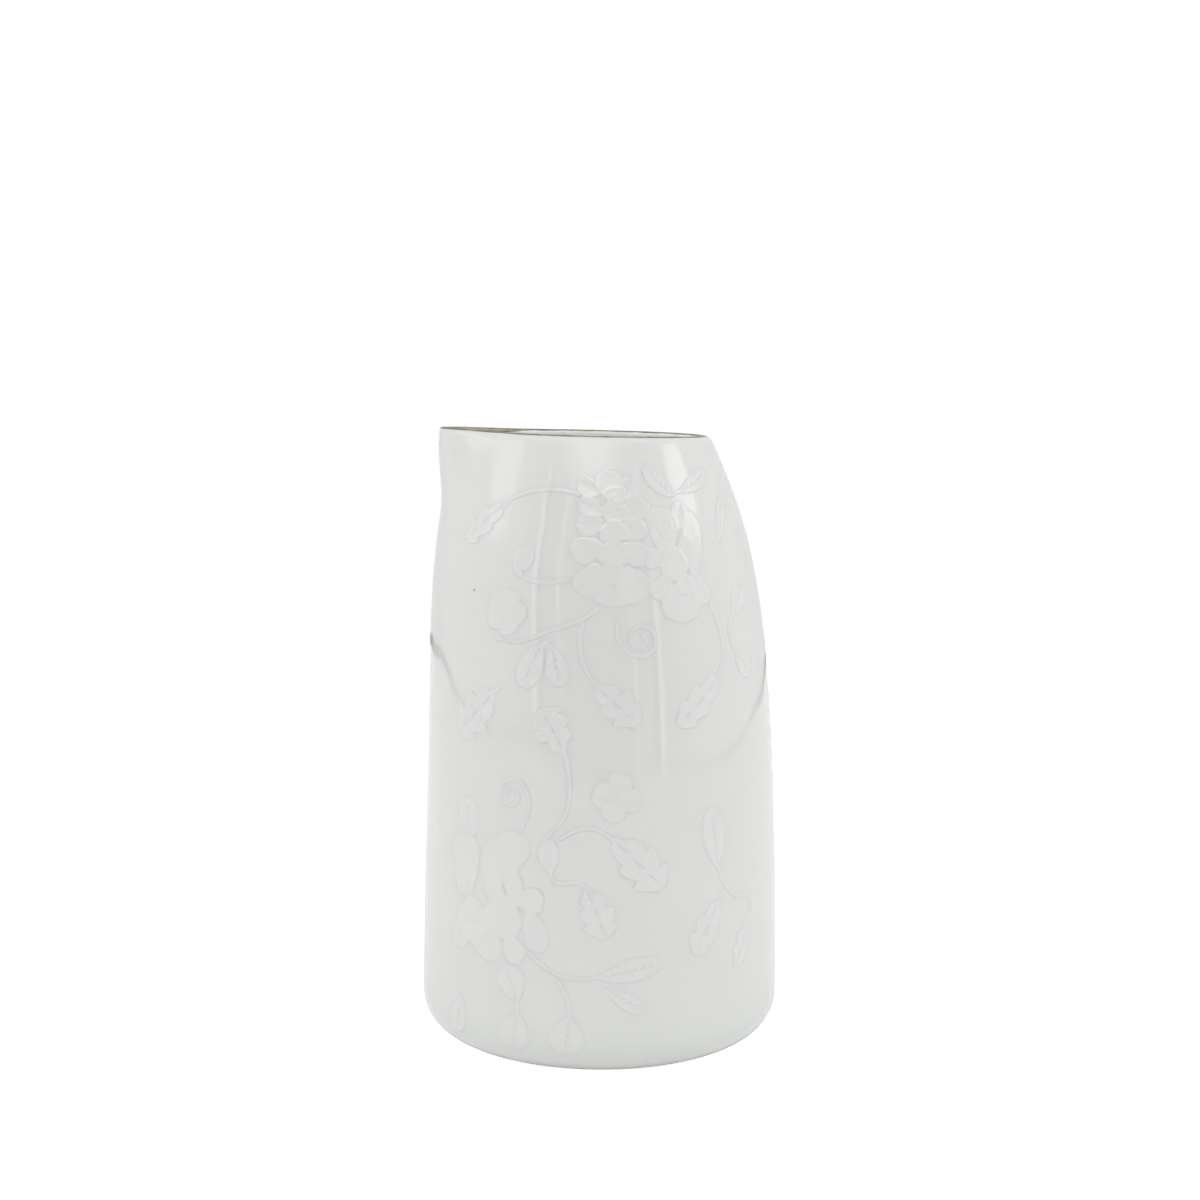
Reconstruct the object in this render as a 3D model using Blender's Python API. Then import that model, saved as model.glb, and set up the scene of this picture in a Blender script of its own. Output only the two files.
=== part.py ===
"""Porcelain cream jug: a cast body drawn out into a pouring lip, a fired metal rim line and raised flower relief.

The jug stands on its foot ring with the origin under its middle, +Z up and the pouring lip towards -X.
Places on its skin are given as (turn, height): degrees round from the front (-Y) towards +X, and hundredths
of the jug's height.
"""
import math
from collections import namedtuple

import bmesh
import bpy
from mathutils import Vector

# Driving dimensions, in metres.
HEIGHT = 0.1103
FOOT_RADIUS = 0.03305
MOUTH_RADIUS = 0.0195
WALL = 0.0025
LIP_WALL = 0.002
SHOULDER_ROUNDING = 0.0021
FLOOR = 0.003
FOOT_ROUNDING = 0.007
FOOT_RING_WIDTH = 0.0028
FOOT_RECESS = 0.0016
FLOOR_ROUNDING = 0.006
SPOUT_LEAN = 0.0066
SPOUT_FLARE = 0.0036
SPOUT_LIFT = 0.00045
RIM_LINE_REACH = 0.0010
RIM_LINE_THICKNESS = 0.00035
RELIEF_THICKNESS = 0.00035
STEM_WIDTH = 0.0009
FIT_GAP = 0.0003

# Shape of the side: a Bezier whose handles are (share of the height, share of the way in to the mouth).
SIDE_HANDLES = ((0.75, 0.02), (0.84, 0.43))

# The spout: where along the height it starts, how narrow it is pinched, and how the rim slopes up to it.
LEAN_START = 0.35
FLARE_START = 0.86
FLARE_END = 1.01
PINCH_START = 0.72
PINCH_SHARE = 0.71
SPOUT_HALF_ANGLE = math.radians(20.5)
LIFT_HALF_ANGLE = math.radians(30)
RIM_SLOPE = 0.016
RIM_SLOPE_POWER = 6

# How finely the solids are divided.
SEGMENTS = 56
SIDE_STEPS = 12
ROUNDING_STEPS = 4
LIP_STEPS = 3
ROW_STEP = 0.0018
PETAL_POINTS = 4
PETAL_RINGS = (0.5, 1.0)
COIL_POINTS = 11
TOOTH_PITCH = 0.0036
TIP_WIDTH = 0.0003

Strip = namedtuple("Strip", "name path first_leaf last_leaf serrated")
Bloom = namedtuple("Bloom", "name centre width length petals")
Tendril = namedtuple("Tendril", "name path eye coils")
Leaf = namedtuple("Leaf", "length width")

NO_LEAF = None

BLOOMS = (
    Bloom("bloom_crown", (3, 84.5), 0.011, 0.022, 6),
    Bloom("bloom_shoulder", (30, 80.5), 0.0125, 0.0195, 6),
    Bloom("bloom_base", (-35, 27.5), 0.020, 0.020, 7),
    Bloom("flower_side", (-31, 73.8), 0.0076, 0.0076, 5),
    Bloom("flower_waist", (5, 44.8), 0.0084, 0.0084, 4),
)

STRIPS = (
    Strip("spray_spout", ((-9, 90.8), (-21, 91.7), (-37, 90), (-56, 83)), NO_LEAF, Leaf(0.011, 0.0058), True),
    Strip("spray_bud", ((-11, 78.2), (-21, 77.6), (-29, 79), (-26, 83)), NO_LEAF, Leaf(0.0055, 0.0038), False),
    Strip("stem_side", ((-1, 73), (-7, 72), (-17, 70.3), (-27, 68.4), (-36, 68.8)), NO_LEAF, NO_LEAF, False),
    Strip("leaves_peak", ((18, 95.3), (31, 91.4), (55, 94.6)), Leaf(0.006, 0.0032), Leaf(0.009, 0.0034), False),
    Strip("leaf_shoulder", ((50, 83), (60, 90.5)), NO_LEAF, Leaf(0.009, 0.003), False),
    Strip("leaves_hanging", ((-26, 61.5), (-17, 68), (-10, 62)), Leaf(0.0078, 0.005), Leaf(0.0065, 0.004), False),
    Strip("spray_middle", ((-5.5, 71), (-7, 68.5), (-3, 63), (12, 56)), NO_LEAF, Leaf(0.010, 0.0068), True),
    Strip("spray_right", ((41, 73), (44.5, 69), (42.5, 63.5), (25, 55.8)), NO_LEAF, Leaf(0.0115, 0.0062), True),
    Strip("leaves_edge", ((61, 76), (50, 71), (50, 67), (60, 62)), Leaf(0.006, 0.0048), Leaf(0.006, 0.0048), False),
    Strip("leaf_left", ((-35, 60), (-51, 53.5)), NO_LEAF, Leaf(0.0105, 0.0074), True),
    Strip("spray_waist", ((-19, 57.5), (-10.5, 50), (-10, 43), (-16.5, 38.6)), Leaf(0.0085, 0.0058), NO_LEAF, True),
    Strip("leaf_round", ((-45, 38.2), (-47, 44)), NO_LEAF, Leaf(0.0064, 0.0058), False),
    Strip("spray_lobed", ((-11.5, 38.6), (-5, 40), (3, 38.6), (20, 30.5)), NO_LEAF, Leaf(0.0128, 0.0074), True),
    Strip("spray_centre", ((-16, 37.6), (-14, 32.6), (-3, 30.2), (4, 22.5)), Leaf(0.005, 0.0036),
          Leaf(0.0092, 0.006), True),
    Strip("spray_low", ((-22, 19.6), (-12.7, 16.8), (0, 16.6), (19, 19)), NO_LEAF, Leaf(0.010, 0.0036), False),
    Strip("leaf_low", ((1.5, 13.8), (14, 11)), NO_LEAF, Leaf(0.0068, 0.0034), False),
    Strip("spray_foot", ((-11.5, 14.6), (-9, 11.5), (-11, 4)), NO_LEAF, Leaf(0.0064, 0.0056), False),
    Strip("spray_foot_left", ((-31, 16.6), (-25.5, 11), (-28, 4)), Leaf(0.0052, 0.005), Leaf(0.006, 0.0056), False),
    Strip("leaf_foot", ((-47, 11), (-51, 4.2)), NO_LEAF, Leaf(0.0072, 0.0042), False),
    Strip("spray_side", ((36.5, 42), (40, 31.5), (46, 27.5), (55, 25.5), (47, 16)), Leaf(0.0105, 0.0056),
          Leaf(0.0095, 0.0042), True),
    Strip("leaf_side", ((39.5, 27.6), (30.5, 19.6)), NO_LEAF, Leaf(0.0095, 0.0054), True),
)

TENDRILS = (
    Tendril("tendril_upper", ((6, 72.6), (5, 70), (8, 67.2), (13, 66.4)), (12.8, 69.1), 1.5),
    Tendril("tendril_lower", ((-24.6, 39.8), (-22.2, 43.4), (-25, 46.6), (-29, 46.8)), (-28.6, 44.4), 1.3),
)


# Shape of the jug ---------------------------------------------------------------------------------------------

def smooth_step(value, low, high):
    """Rise smoothly from 0 at low to 1 at high."""
    share = min(max((value - low) / (high - low), 0.0), 1.0)
    return share * share * (3 - 2 * share)


def side_share(share):
    """Share of the way in to the mouth at a share of the height, read from the side's Bezier."""
    low, high = 0.0, 1.0
    (height_a, inset_a), (height_b, inset_b) = SIDE_HANDLES
    for _ in range(40):
        t = (low + high) / 2
        reached = 3 * (1 - t) ** 2 * t * height_a + 3 * (1 - t) * t * t * height_b + t ** 3
        low, high = (t, high) if reached < share else (low, t)
    return 3 * (1 - t) ** 2 * t * inset_a + 3 * (1 - t) * t * t * inset_b + t ** 3


def side_radius(height):
    """Outer radius of the turned shape, with its rounded foot, before the spout is drawn out."""
    radius = FOOT_RADIUS - (FOOT_RADIUS - MOUTH_RADIUS) * side_share(min(height / HEIGHT, 1.0))
    below = max(1 - height / FOOT_ROUNDING, 0.0)
    return radius - FOOT_ROUNDING * (1 - math.sqrt(1 - below * below))


def side_normal(height):
    """Outward normal of the turned side, as (radial, upward)."""
    step = HEIGHT * 1e-3
    low = max(height - step, 0.0)
    high = min(height + step, HEIGHT)
    climb = Vector((side_radius(high) - side_radius(low), high - low)).normalized()
    return Vector((climb.y, -climb.x))


def spout_swell(angle, height):
    """How far the wall is drawn out at an angle from the spout's middle."""
    share = height / HEIGHT
    lean = SPOUT_LEAN * max((share - LEAN_START) / (1 - LEAN_START), 0.0) ** 2
    flare = SPOUT_FLARE * smooth_step(share, FLARE_START, FLARE_END)
    pinch = PINCH_SHARE * smooth_step(share, PINCH_START, 1.02)
    broad = ((1 + math.cos(angle)) / 2) ** 2
    narrow = math.exp(-(angle / SPOUT_HALF_ANGLE) ** 2)
    return (lean + flare) * ((1 - pinch) * broad + pinch * narrow)


def rim_rise(angle, height):
    """How far the rim is lifted towards the spout, fading out down the wall."""
    reach = MOUTH_RADIUS + spout_swell(angle, HEIGHT)
    lift = SPOUT_LIFT * math.exp(-(angle / LIFT_HALF_ANGLE) ** 2)
    return (RIM_SLOPE * reach * math.cos(angle) + lift) * (height / HEIGHT) ** RIM_SLOPE_POWER


def drawn_out(point):
    """Move a point of the turned shape to where the drawn-out spout puts it."""
    radius = math.hypot(point.x, point.y)
    if radius < 1e-6:
        return point
    angle = math.atan2(-point.y, -point.x)
    grown = (radius + spout_swell(angle, point.z)) / radius
    return Vector((point.x * grown, point.y * grown, point.z + rim_rise(angle, point.z)))


def skin_point(turn, height):
    """Point of the outer skin at a turn in degrees and a height in metres."""
    radius = side_radius(height)
    around = math.radians(turn)
    return drawn_out(Vector((radius * math.sin(around), -radius * math.cos(around), height)))


def skin_normal(turn, height):
    """Outward normal of the skin, from two short steps along it."""
    step = HEIGHT * 1e-3
    across = skin_point(turn + 0.1, height) - skin_point(turn - 0.1, height)
    up = skin_point(turn, height + step) - skin_point(turn, height - step)
    return across.cross(up).normalized()


class Chart:
    """A flat drawing plane laid on the skin round one place, in metres across and up."""

    def __init__(self, turn, height):
        self.turn = turn
        self.height = height
        self.radius = Vector(skin_point(turn, height)[:2]).length
        self.climb = side_normal(height).x

    def flat(self, turn, height):
        """Where a place on the skin falls on the drawing plane."""
        across = math.radians(turn - self.turn) * self.radius
        return Vector((across, (height - self.height) / self.climb))

    def place(self, spot):
        """Put a spot of the drawing plane on the skin, clear of it by the fitting gap."""
        turn = self.turn + math.degrees(spot.x / self.radius)
        height = self.height + spot.y * self.climb
        return skin_point(turn, height) + skin_normal(turn, height) * FIT_GAP


# Building solids ----------------------------------------------------------------------------------------------

def make_material(name, colour, roughness, metallic=0.0):
    """A Principled material of one colour."""
    material = bpy.data.materials.new(name)
    material.use_nodes = True
    shader = material.node_tree.nodes["Principled BSDF"]
    shader.inputs["Base Color"].default_value = (*colour, 1)
    shader.inputs["Roughness"].default_value = roughness
    shader.inputs["Metallic"].default_value = metallic
    material.diffuse_color = (*colour, 1)
    return material


def add_object(name, shape, material):
    """Turn a bmesh into a smooth-shaded object of the scene."""
    mesh = bpy.data.meshes.new(name)
    shape.to_mesh(mesh)
    shape.free()
    mesh.shade_smooth()
    mesh.set_sharp_from_angle(angle=math.radians(40))
    mesh.materials.append(material)
    piece = bpy.data.objects.new(name, mesh)
    bpy.context.scene.collection.objects.link(piece)
    return piece


def turned(name, outline, material, closed):
    """Spin an outline of (radius, height) points round the axis and draw its spout out."""
    shape = bmesh.new()
    points = [shape.verts.new((radius, 0, height)) for radius, height in outline]
    edges = [shape.edges.new(pair) for pair in zip(points, points[1:])]
    if closed:
        edges.append(shape.edges.new((points[-1], points[0])))
    bmesh.ops.spin(shape, geom=points + edges, cent=(0, 0, 0), axis=(0, 0, 1), angle=math.tau, steps=SEGMENTS)
    bmesh.ops.remove_doubles(shape, verts=shape.verts, dist=1e-6)
    for vertex in shape.verts:
        vertex.co = drawn_out(vertex.co)
    bmesh.ops.recalc_face_normals(shape, faces=shape.faces)
    return add_object(name, shape, material)


def raised(name, rows, material, round_centre=None):
    """Make a thin solid from rows of skin points; a round one closes each row and fans in to its centre."""
    shape = bmesh.new()
    grid = [[shape.verts.new(point) for point in row] for row in rows]
    for low, high in zip(grid, grid[1:]):
        around = len(low) if round_centre is not None else len(low) - 1
        for place in range(around):
            after = (place + 1) % len(low)
            shape.faces.new((low[place], low[after], high[after], high[place]))
    if round_centre is not None:
        middle = shape.verts.new(round_centre)
        inner = grid[0]
        for place, vertex in enumerate(inner):
            shape.faces.new((middle, inner[(place + 1) % len(inner)], vertex))
    bmesh.ops.recalc_face_normals(shape, faces=shape.faces)
    shape.normal_update()
    shape.faces.ensure_lookup_table()
    first = shape.faces[0]
    outward = first.calc_center_median() * Vector((1, 1, 0))
    if first.normal.dot(outward) < 0:
        bmesh.ops.reverse_faces(shape, faces=shape.faces)
    piece = add_object(name, shape, material)
    thicken = piece.modifiers.new("relief_thickness", "SOLIDIFY")
    thicken.thickness = RELIEF_THICKNESS
    thicken.offset = 1
    return piece


def arc(centre, radius, first, last, steps):
    """Points (radius, height) of an arc, its angles counted from outward to up."""
    angles = [first + (last - first) * step / steps for step in range(steps + 1)]
    return [centre + Vector((math.cos(angle), math.sin(angle))) * radius for angle in angles]


def lip_arcs():
    """Centres and radii of the lip's outer and inner rounding, and the angle of the side's normal where they start."""
    crest = HEIGHT - FIT_GAP - RIM_LINE_THICKNESS
    height = crest
    for _ in range(6):
        height = crest - SHOULDER_ROUNDING * (1 - side_normal(height).y)
    normal = side_normal(height)
    inner = (LIP_WALL - SHOULDER_ROUNDING * (1 - normal.y)) / (1 + normal.y)
    shoulder_centre = Vector((side_radius(height), height)) - normal * SHOULDER_ROUNDING
    inner_centre = Vector((shoulder_centre.x, crest - inner))
    return shoulder_centre, inner_centre, inner, math.atan2(normal.y, normal.x)


def wall_point(height, inset):
    """Point of the turned wall, moved in along its normal."""
    return Vector((side_radius(height), height)) - side_normal(height) * inset


def make_body(material):
    """The cast body: foot ring, rounded foot, side, rounded lip, hollow inside and floor."""
    ring_outer = FOOT_RADIUS - FOOT_ROUNDING
    ring_inner = ring_outer - FOOT_RING_WIDTH
    underside = [
        Vector((0, FOOT_RECESS)),
        Vector((ring_inner / 2, FOOT_RECESS)),
        Vector((ring_inner - FOOT_RECESS / 2, FOOT_RECESS)),
        Vector((ring_inner, 0)),
    ]
    rounding = []
    for step in range(ROUNDING_STEPS):
        height = FOOT_ROUNDING * (1 - math.cos(math.pi / 2 * step / ROUNDING_STEPS))
        rounding.append(Vector((side_radius(height), height)))
    shoulder_centre, inner_centre, inner, lip_angle = lip_arcs()
    top = shoulder_centre.y + math.sin(lip_angle) * SHOULDER_ROUNDING
    heights = [FOOT_ROUNDING + (top - FOOT_ROUNDING) * math.sin(math.pi / 2 * step / SIDE_STEPS)
               for step in range(SIDE_STEPS)]
    outside = [wall_point(height, 0) for height in heights]
    lip = arc(shoulder_centre, SHOULDER_ROUNDING, lip_angle, math.pi / 2, LIP_STEPS)
    lip += arc(inner_centre, inner, math.pi / 2, math.pi + lip_angle, LIP_STEPS)[1:]
    floor_level = FOOT_RECESS + FLOOR
    corner_height = floor_level + FLOOR_ROUNDING
    inside = []
    for height in reversed(heights):
        inset = LIP_WALL + (WALL - LIP_WALL) * smooth_step(top - height, 0, HEIGHT / 4)
        point = wall_point(height, inset)
        if corner_height + WALL < point.y < lip[-1].y - WALL:
            inside.append(point)
    corner_radius = wall_point(corner_height, WALL).x
    corner = arc(Vector((corner_radius - FLOOR_ROUNDING, corner_height)), FLOOR_ROUNDING, 0, -math.pi / 2,
                 ROUNDING_STEPS)
    floor = [Vector(((corner_radius - FLOOR_ROUNDING) / 2, floor_level)), Vector((0, floor_level))]
    outline = underside + rounding + outside + lip + inside + corner + floor
    return turned("porcelain_body", outline, material, closed=False)


def make_rim_line(material):
    """The fired metal line, laid over the crest of the lip."""
    shoulder_centre, inner_centre, inner, _ = lip_arcs()
    start = math.pi / 2 - RIM_LINE_REACH / SHOULDER_ROUNDING
    top = math.pi / 2

    def layer(lift):
        outer_half = arc(shoulder_centre, SHOULDER_ROUNDING + lift, start, top, LIP_STEPS)
        return outer_half + arc(inner_centre, inner + lift, top, math.pi, LIP_STEPS)[1:]

    outline = layer(FIT_GAP + RIM_LINE_THICKNESS) + layer(FIT_GAP)[::-1]
    return turned("rim_line", outline, material, closed=True)


def curve_through(points, step):
    """Spots along a smooth curve through the points, about one step apart."""
    ends = [points[0] * 2 - points[1]] + list(points) + [points[-1] * 2 - points[-2]]
    spots = []
    for before, start, end, after in zip(ends, ends[1:], ends[2:], ends[3:]):
        count = max(round((end - start).length / step), 1)
        for place in range(count):
            t = place / count
            spots.append(0.5 * (2 * start + (end - before) * t + (2 * before - 5 * start + 4 * end - after) * t ** 2
                                + (3 * start - before - 3 * end + after) * t ** 3))
    spots.append(points[-1])
    return spots


def leaf_width(leaf, distance, serrated):
    """Width of an end leaf at a distance from its tip."""
    if leaf is NO_LEAF or distance > leaf.length:
        return 0.0
    share = distance / leaf.length
    width = leaf.width * math.sin(math.pi * share ** 0.75) ** 0.7
    if serrated:
        width *= 0.9 + 0.1 * math.cos(distance / TOOTH_PITCH * math.tau)
    return width


def make_strip(motif, chart, places, name, material):
    """A stem that opens into a leaf at either end, or a leaf alone."""
    route = curve_through([chart.flat(*place) for place in places], ROW_STEP)
    lengths = [0.0]
    for start, end in zip(route, route[1:]):
        lengths.append(lengths[-1] + (end - start).length)
    rows = []
    for place, spot in enumerate(route):
        ahead = route[min(place + 1, len(route) - 1)] - route[max(place - 1, 0)]
        side = Vector((-ahead.y, ahead.x)).normalized()
        first = leaf_width(motif.first_leaf, lengths[place], motif.serrated)
        last = leaf_width(motif.last_leaf, lengths[-1] - lengths[place], motif.serrated)
        at_tip = (place == 0 and motif.first_leaf) or (place == len(route) - 1 and motif.last_leaf)
        half = TIP_WIDTH / 2 if at_tip else max(first, last, STEM_WIDTH) / 2
        rows.append([chart.place(spot + side * half), chart.place(spot), chart.place(spot - side * half)])
    return raised(name, rows, material)


def make_bloom(motif, chart, facing, name, material):
    """A flower head with rounded petals round an oval."""
    count = motif.petals * PETAL_POINTS
    size = Vector((motif.width / 2, motif.length / 2))
    rows = []
    for share in PETAL_RINGS:
        row = []
        for step in range(count):
            angle = math.tau * step / count
            lobe = 1 - 0.16 * share * (1 - abs(math.cos(motif.petals * angle / 2)))
            spot = Vector((math.sin(angle) * size.x * facing, math.cos(angle) * size.y)) * share * lobe
            row.append(chart.place(spot))
        rows.append(row)
    return raised(name, rows, material, round_centre=chart.place(Vector((0, 0))))


def make_tendril(motif, chart, places, eye, facing, name, material):
    """A thin stem that winds up into a coil."""
    route = curve_through([chart.flat(*place) for place in places], ROW_STEP)
    middle = chart.flat(*eye)
    reach = route[-1] - middle
    came = route[-1] - route[-2]
    turning = 1 if reach.x * came.y - reach.y * came.x > 0 else -1
    count = round(motif.coils * COIL_POINTS)
    for step in range(1, count + 1):
        share = step / count
        angle = turning * math.tau * motif.coils * share
        spoke = Vector((reach.x * math.cos(angle) - reach.y * math.sin(angle),
                        reach.x * math.sin(angle) + reach.y * math.cos(angle)))
        route.append(middle + spoke * (1 - 0.72 * share))
    rows = []
    for place, spot in enumerate(route):
        ahead = route[min(place + 1, len(route) - 1)] - route[max(place - 1, 0)]
        side = Vector((-ahead.y, ahead.x)).normalized() * STEM_WIDTH / 2
        rows.append([chart.place(spot + side), chart.place(spot - side)])
    return raised(name, rows, material)


def make_relief(face, facing, material):
    """All the relief of one face of the jug; the back is the front's mirror image through the spout."""
    def on_face(place):
        turn, height = place
        return (turn if facing > 0 else 180 - turn), height / 100 * HEIGHT

    for motif in BLOOMS:
        chart = Chart(*on_face(motif.centre))
        make_bloom(motif, chart, facing, f"{face}_{motif.name}", material)
    for motif in STRIPS:
        places = [on_face(place) for place in motif.path]
        chart = Chart(*places[len(places) // 2])
        make_strip(motif, chart, places, f"{face}_{motif.name}", material)
    for motif in TENDRILS:
        places = [on_face(place) for place in motif.path]
        eye = on_face(motif.eye)
        make_tendril(motif, Chart(*eye), places, eye, facing, f"{face}_{motif.name}", material)


def main():
    for old in list(bpy.data.objects):
        bpy.data.objects.remove(old, do_unlink=True)
    glaze = make_material("glazed_porcelain", (0.80, 0.81, 0.79), 0.08)
    relief = make_material("raised_relief", (0.84, 0.85, 0.82), 0.12)
    metal = make_material("rim_metal", (0.50, 0.45, 0.33), 0.3, metallic=1.0)
    make_body(glaze)
    make_rim_line(metal)
    make_relief("front", 1, relief)
    make_relief("back", -1, relief)


main()
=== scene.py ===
"""Looks of the porcelain cream jug: fine glazed body, fired metal rim line and raised flower relief.

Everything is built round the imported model's frame, in metres. Places on the jug's wall are given as in the
design: a turn in degrees from the front towards +X, and a height in hundredths of the jug's height.
"""
import logging
import math
from dataclasses import dataclass, field
from enum import Enum

import bpy
import numpy as np
from mathutils import Matrix, Vector


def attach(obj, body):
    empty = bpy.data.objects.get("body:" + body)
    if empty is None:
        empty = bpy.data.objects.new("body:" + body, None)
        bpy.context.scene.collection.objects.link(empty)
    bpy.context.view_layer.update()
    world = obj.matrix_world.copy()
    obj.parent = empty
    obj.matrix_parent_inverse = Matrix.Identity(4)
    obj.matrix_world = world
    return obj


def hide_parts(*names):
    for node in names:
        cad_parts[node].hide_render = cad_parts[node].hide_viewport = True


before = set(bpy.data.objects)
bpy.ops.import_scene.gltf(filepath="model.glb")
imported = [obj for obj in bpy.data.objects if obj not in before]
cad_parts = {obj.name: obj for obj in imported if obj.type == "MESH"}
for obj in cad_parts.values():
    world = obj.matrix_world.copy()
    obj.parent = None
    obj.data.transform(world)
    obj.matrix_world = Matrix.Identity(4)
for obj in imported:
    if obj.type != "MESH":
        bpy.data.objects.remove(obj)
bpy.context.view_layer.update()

LOG = logging.getLogger("cream_jug")
MM = 0.001


class Face(Enum):
    """The two decorated faces of the jug; the back mirrors the front through the pouring lip."""

    FRONT = "front"
    BACK = "back"

    def turn(self, turn: float) -> float:
        """Turn on this face of a place drawn for the front."""
        return turn if self is Face.FRONT else 180.0 - turn

    @property
    def way(self) -> float:
        """Sign that drawings made for the front take across this face."""
        return 1.0 if self is Face.FRONT else -1.0


class LeafKind(Enum):
    """How an end leaf is modelled."""

    LOBED = "lobed"
    SERRATED = "serrated"
    SMOOTH = "smooth"
    BUD = "bud"


@dataclass(frozen=True)
class JugShape:
    """Outer shape of the jug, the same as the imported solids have.

    Attributes:
        height: Height of the rim over the axis.
        foot_radius: Radius of the side line at the table.
        mouth_radius: Radius of the round part of the mouth.
        foot_rounding: Radius of the rounding between side and foot.
        handles: Bezier handles of the side, as (share of height, share of the way in).
        spout_lean: How far the spout leans out at the rim.
        spout_flare: How much further its mouth flares out.
        spout_lift: How far its tip rises over the rim.
        lean_start: Share of the height where the lean starts.
        flare_start: Share of the height where the flare starts.
        flare_end: Share of the height where the flare would be whole.
        pinch_start: Share of the height where the spout starts to narrow.
        pinch_end: Share of the height where the narrowing would be whole.
        pinch_share: Width that the spout keeps where it is narrowest.
        spout_half_angle: Half the angle that the spout takes up.
        lift_half_angle: Half the angle over which the rim rises to its tip.
        rim_slope: Slope of the whole rim.
        rim_slope_power: How late the slope sets in with height.
        pour_edge: How far the lip is pushed out to an edge at the spout.
    """

    height: float = 0.1103
    foot_radius: float = 0.03305
    mouth_radius: float = 0.0195
    foot_rounding: float = 0.007
    handles: tuple = ((0.75, 0.02), (0.84, 0.43))
    spout_lean: float = 0.0066
    spout_flare: float = 0.0036
    spout_lift: float = 0.00045
    lean_start: float = 0.35
    flare_start: float = 0.86
    flare_end: float = 1.01
    pinch_start: float = 0.72
    pinch_end: float = 1.02
    pinch_share: float = 0.71
    spout_half_angle: float = math.radians(20.5)
    lift_half_angle: float = math.radians(30)
    rim_slope: float = 0.016
    rim_slope_power: float = 6.0
    pour_edge: float = 0.0011

    @staticmethod
    def smooth_step(value: np.ndarray, low: float, high: float) -> np.ndarray:
        """Rise smoothly from 0 at low to 1 at high."""
        share = np.clip((value - low) / (high - low), 0.0, 1.0)
        return share * share * (3 - 2 * share)

    def side_radius(self, height: np.ndarray) -> np.ndarray:
        """Outer radius of the turned shape at each height, before the spout is drawn out.

        Args:
            height: Heights in metres.

        Returns:
            Radii of the side line.
        """
        (height_a, inset_a), (height_b, inset_b) = self.handles
        t = np.linspace(0, 1, 4001)
        reached = 3 * (1 - t) ** 2 * t * height_a + 3 * (1 - t) * t * t * height_b + t ** 3
        inset = 3 * (1 - t) ** 2 * t * inset_a + 3 * (1 - t) * t * t * inset_b + t ** 3
        share = np.interp(np.clip(height / self.height, 0, 1), reached, inset)
        radius = self.foot_radius - (self.foot_radius - self.mouth_radius) * share
        below = np.clip(1 - height / self.foot_rounding, 0, 1)
        return radius - self.foot_rounding * (1 - np.sqrt(1 - below * below))

    def side_normal(self, height: np.ndarray) -> tuple[np.ndarray, np.ndarray]:
        """Outward normal of the turned side.

        Args:
            height: Heights along the side.

        Returns:
            Its radial and its upward part.
        """
        step = self.height * 2e-3
        low = np.clip(height - step, 0, None)
        high = np.clip(height + step, None, self.height)
        run = self.side_radius(high) - self.side_radius(low)
        length = np.hypot(run, high - low)
        return (high - low) / length, -run / length

    def spout_swell(self, angle: np.ndarray, height: np.ndarray) -> np.ndarray:
        """How far the wall is drawn out at an angle from the spout's middle.

        Args:
            angle: Angles round the axis, in radians.
            height: Heights in metres.

        Returns:
            How far the spout is drawn out.
        """
        share = height / self.height
        lean = self.spout_lean * np.clip((share - self.lean_start) / (1 - self.lean_start), 0, None) ** 2
        flare = self.spout_flare * self.smooth_step(share, self.flare_start, self.flare_end)
        pinch = self.pinch_share * self.smooth_step(share, self.pinch_start, self.pinch_end)
        broad = ((1 + np.cos(angle)) / 2) ** 2
        narrow = np.exp(-(angle / self.spout_half_angle) ** 2)
        return (lean + flare) * ((1 - pinch) * broad + pinch * narrow)

    def rim_rise(self, angle: np.ndarray, height: np.ndarray) -> np.ndarray:
        """How far the rim is lifted towards the spout, fading out down the wall.

        Args:
            angle: Angles round the axis, in radians.
            height: Heights in metres.

        Returns:
            How far the rim rises.
        """
        reach = self.mouth_radius + self.spout_swell(angle, np.full_like(angle, self.height))
        lift = self.spout_lift * np.exp(-(angle / self.lift_half_angle) ** 2)
        slope = self.rim_slope * reach * np.cos(angle)
        return (slope + lift) * np.clip(height / self.height, 0, None) ** self.rim_slope_power

    def lip_push(self, around: np.ndarray) -> np.ndarray:
        """How far the crest of the lip is pushed out at the spout, to a sharper pouring edge."""
        from_spout = np.arctan2(np.cos(around), -np.sin(around))
        return self.pour_edge * np.exp(-(from_spout / self.spout_half_angle / 1.2) ** 2)

    def drawn_out(self, around: np.ndarray, radius: np.ndarray, height: np.ndarray) -> np.ndarray:
        """Draw the spout out of points of the turned shape.

        Args:
            around: Turns from the front towards +X, in radians.
            radius: Distances from the axis.
            height: Heights over the table.

        Returns:
            The points, with x, y and z along the last axis.
        """
        east, north = np.sin(around), -np.cos(around)
        angle = np.arctan2(-north, -east)
        reach = radius + self.spout_swell(angle, height)
        return np.stack([reach * east, reach * north, height + self.rim_rise(angle, height)], axis=-1)

    def skin(self, turn: np.ndarray, height: np.ndarray, lift: np.ndarray) -> np.ndarray:
        """Points on the outer skin, moved out along its normal.

        Args:
            turn: Turns in degrees.
            height: Heights in metres.
            lift: Distances out from the skin.

        Returns:
            The points, with x, y and z along the last axis.
        """
        def surface(turn_now: np.ndarray, height_now: np.ndarray) -> np.ndarray:
            """Points on the skin itself."""
            return self.drawn_out(np.radians(turn_now), self.side_radius(height_now), height_now)

        step = self.height * 2e-3
        across = surface(turn + 0.2, height) - surface(turn - 0.2, height)
        up = surface(turn, height + step) - surface(turn, height - step)
        normal = np.cross(across, up)
        normal /= np.linalg.norm(normal, axis=-1, keepdims=True)
        return surface(turn, height) + normal * np.asarray(lift)[..., None]


JUG = JugShape()


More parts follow.
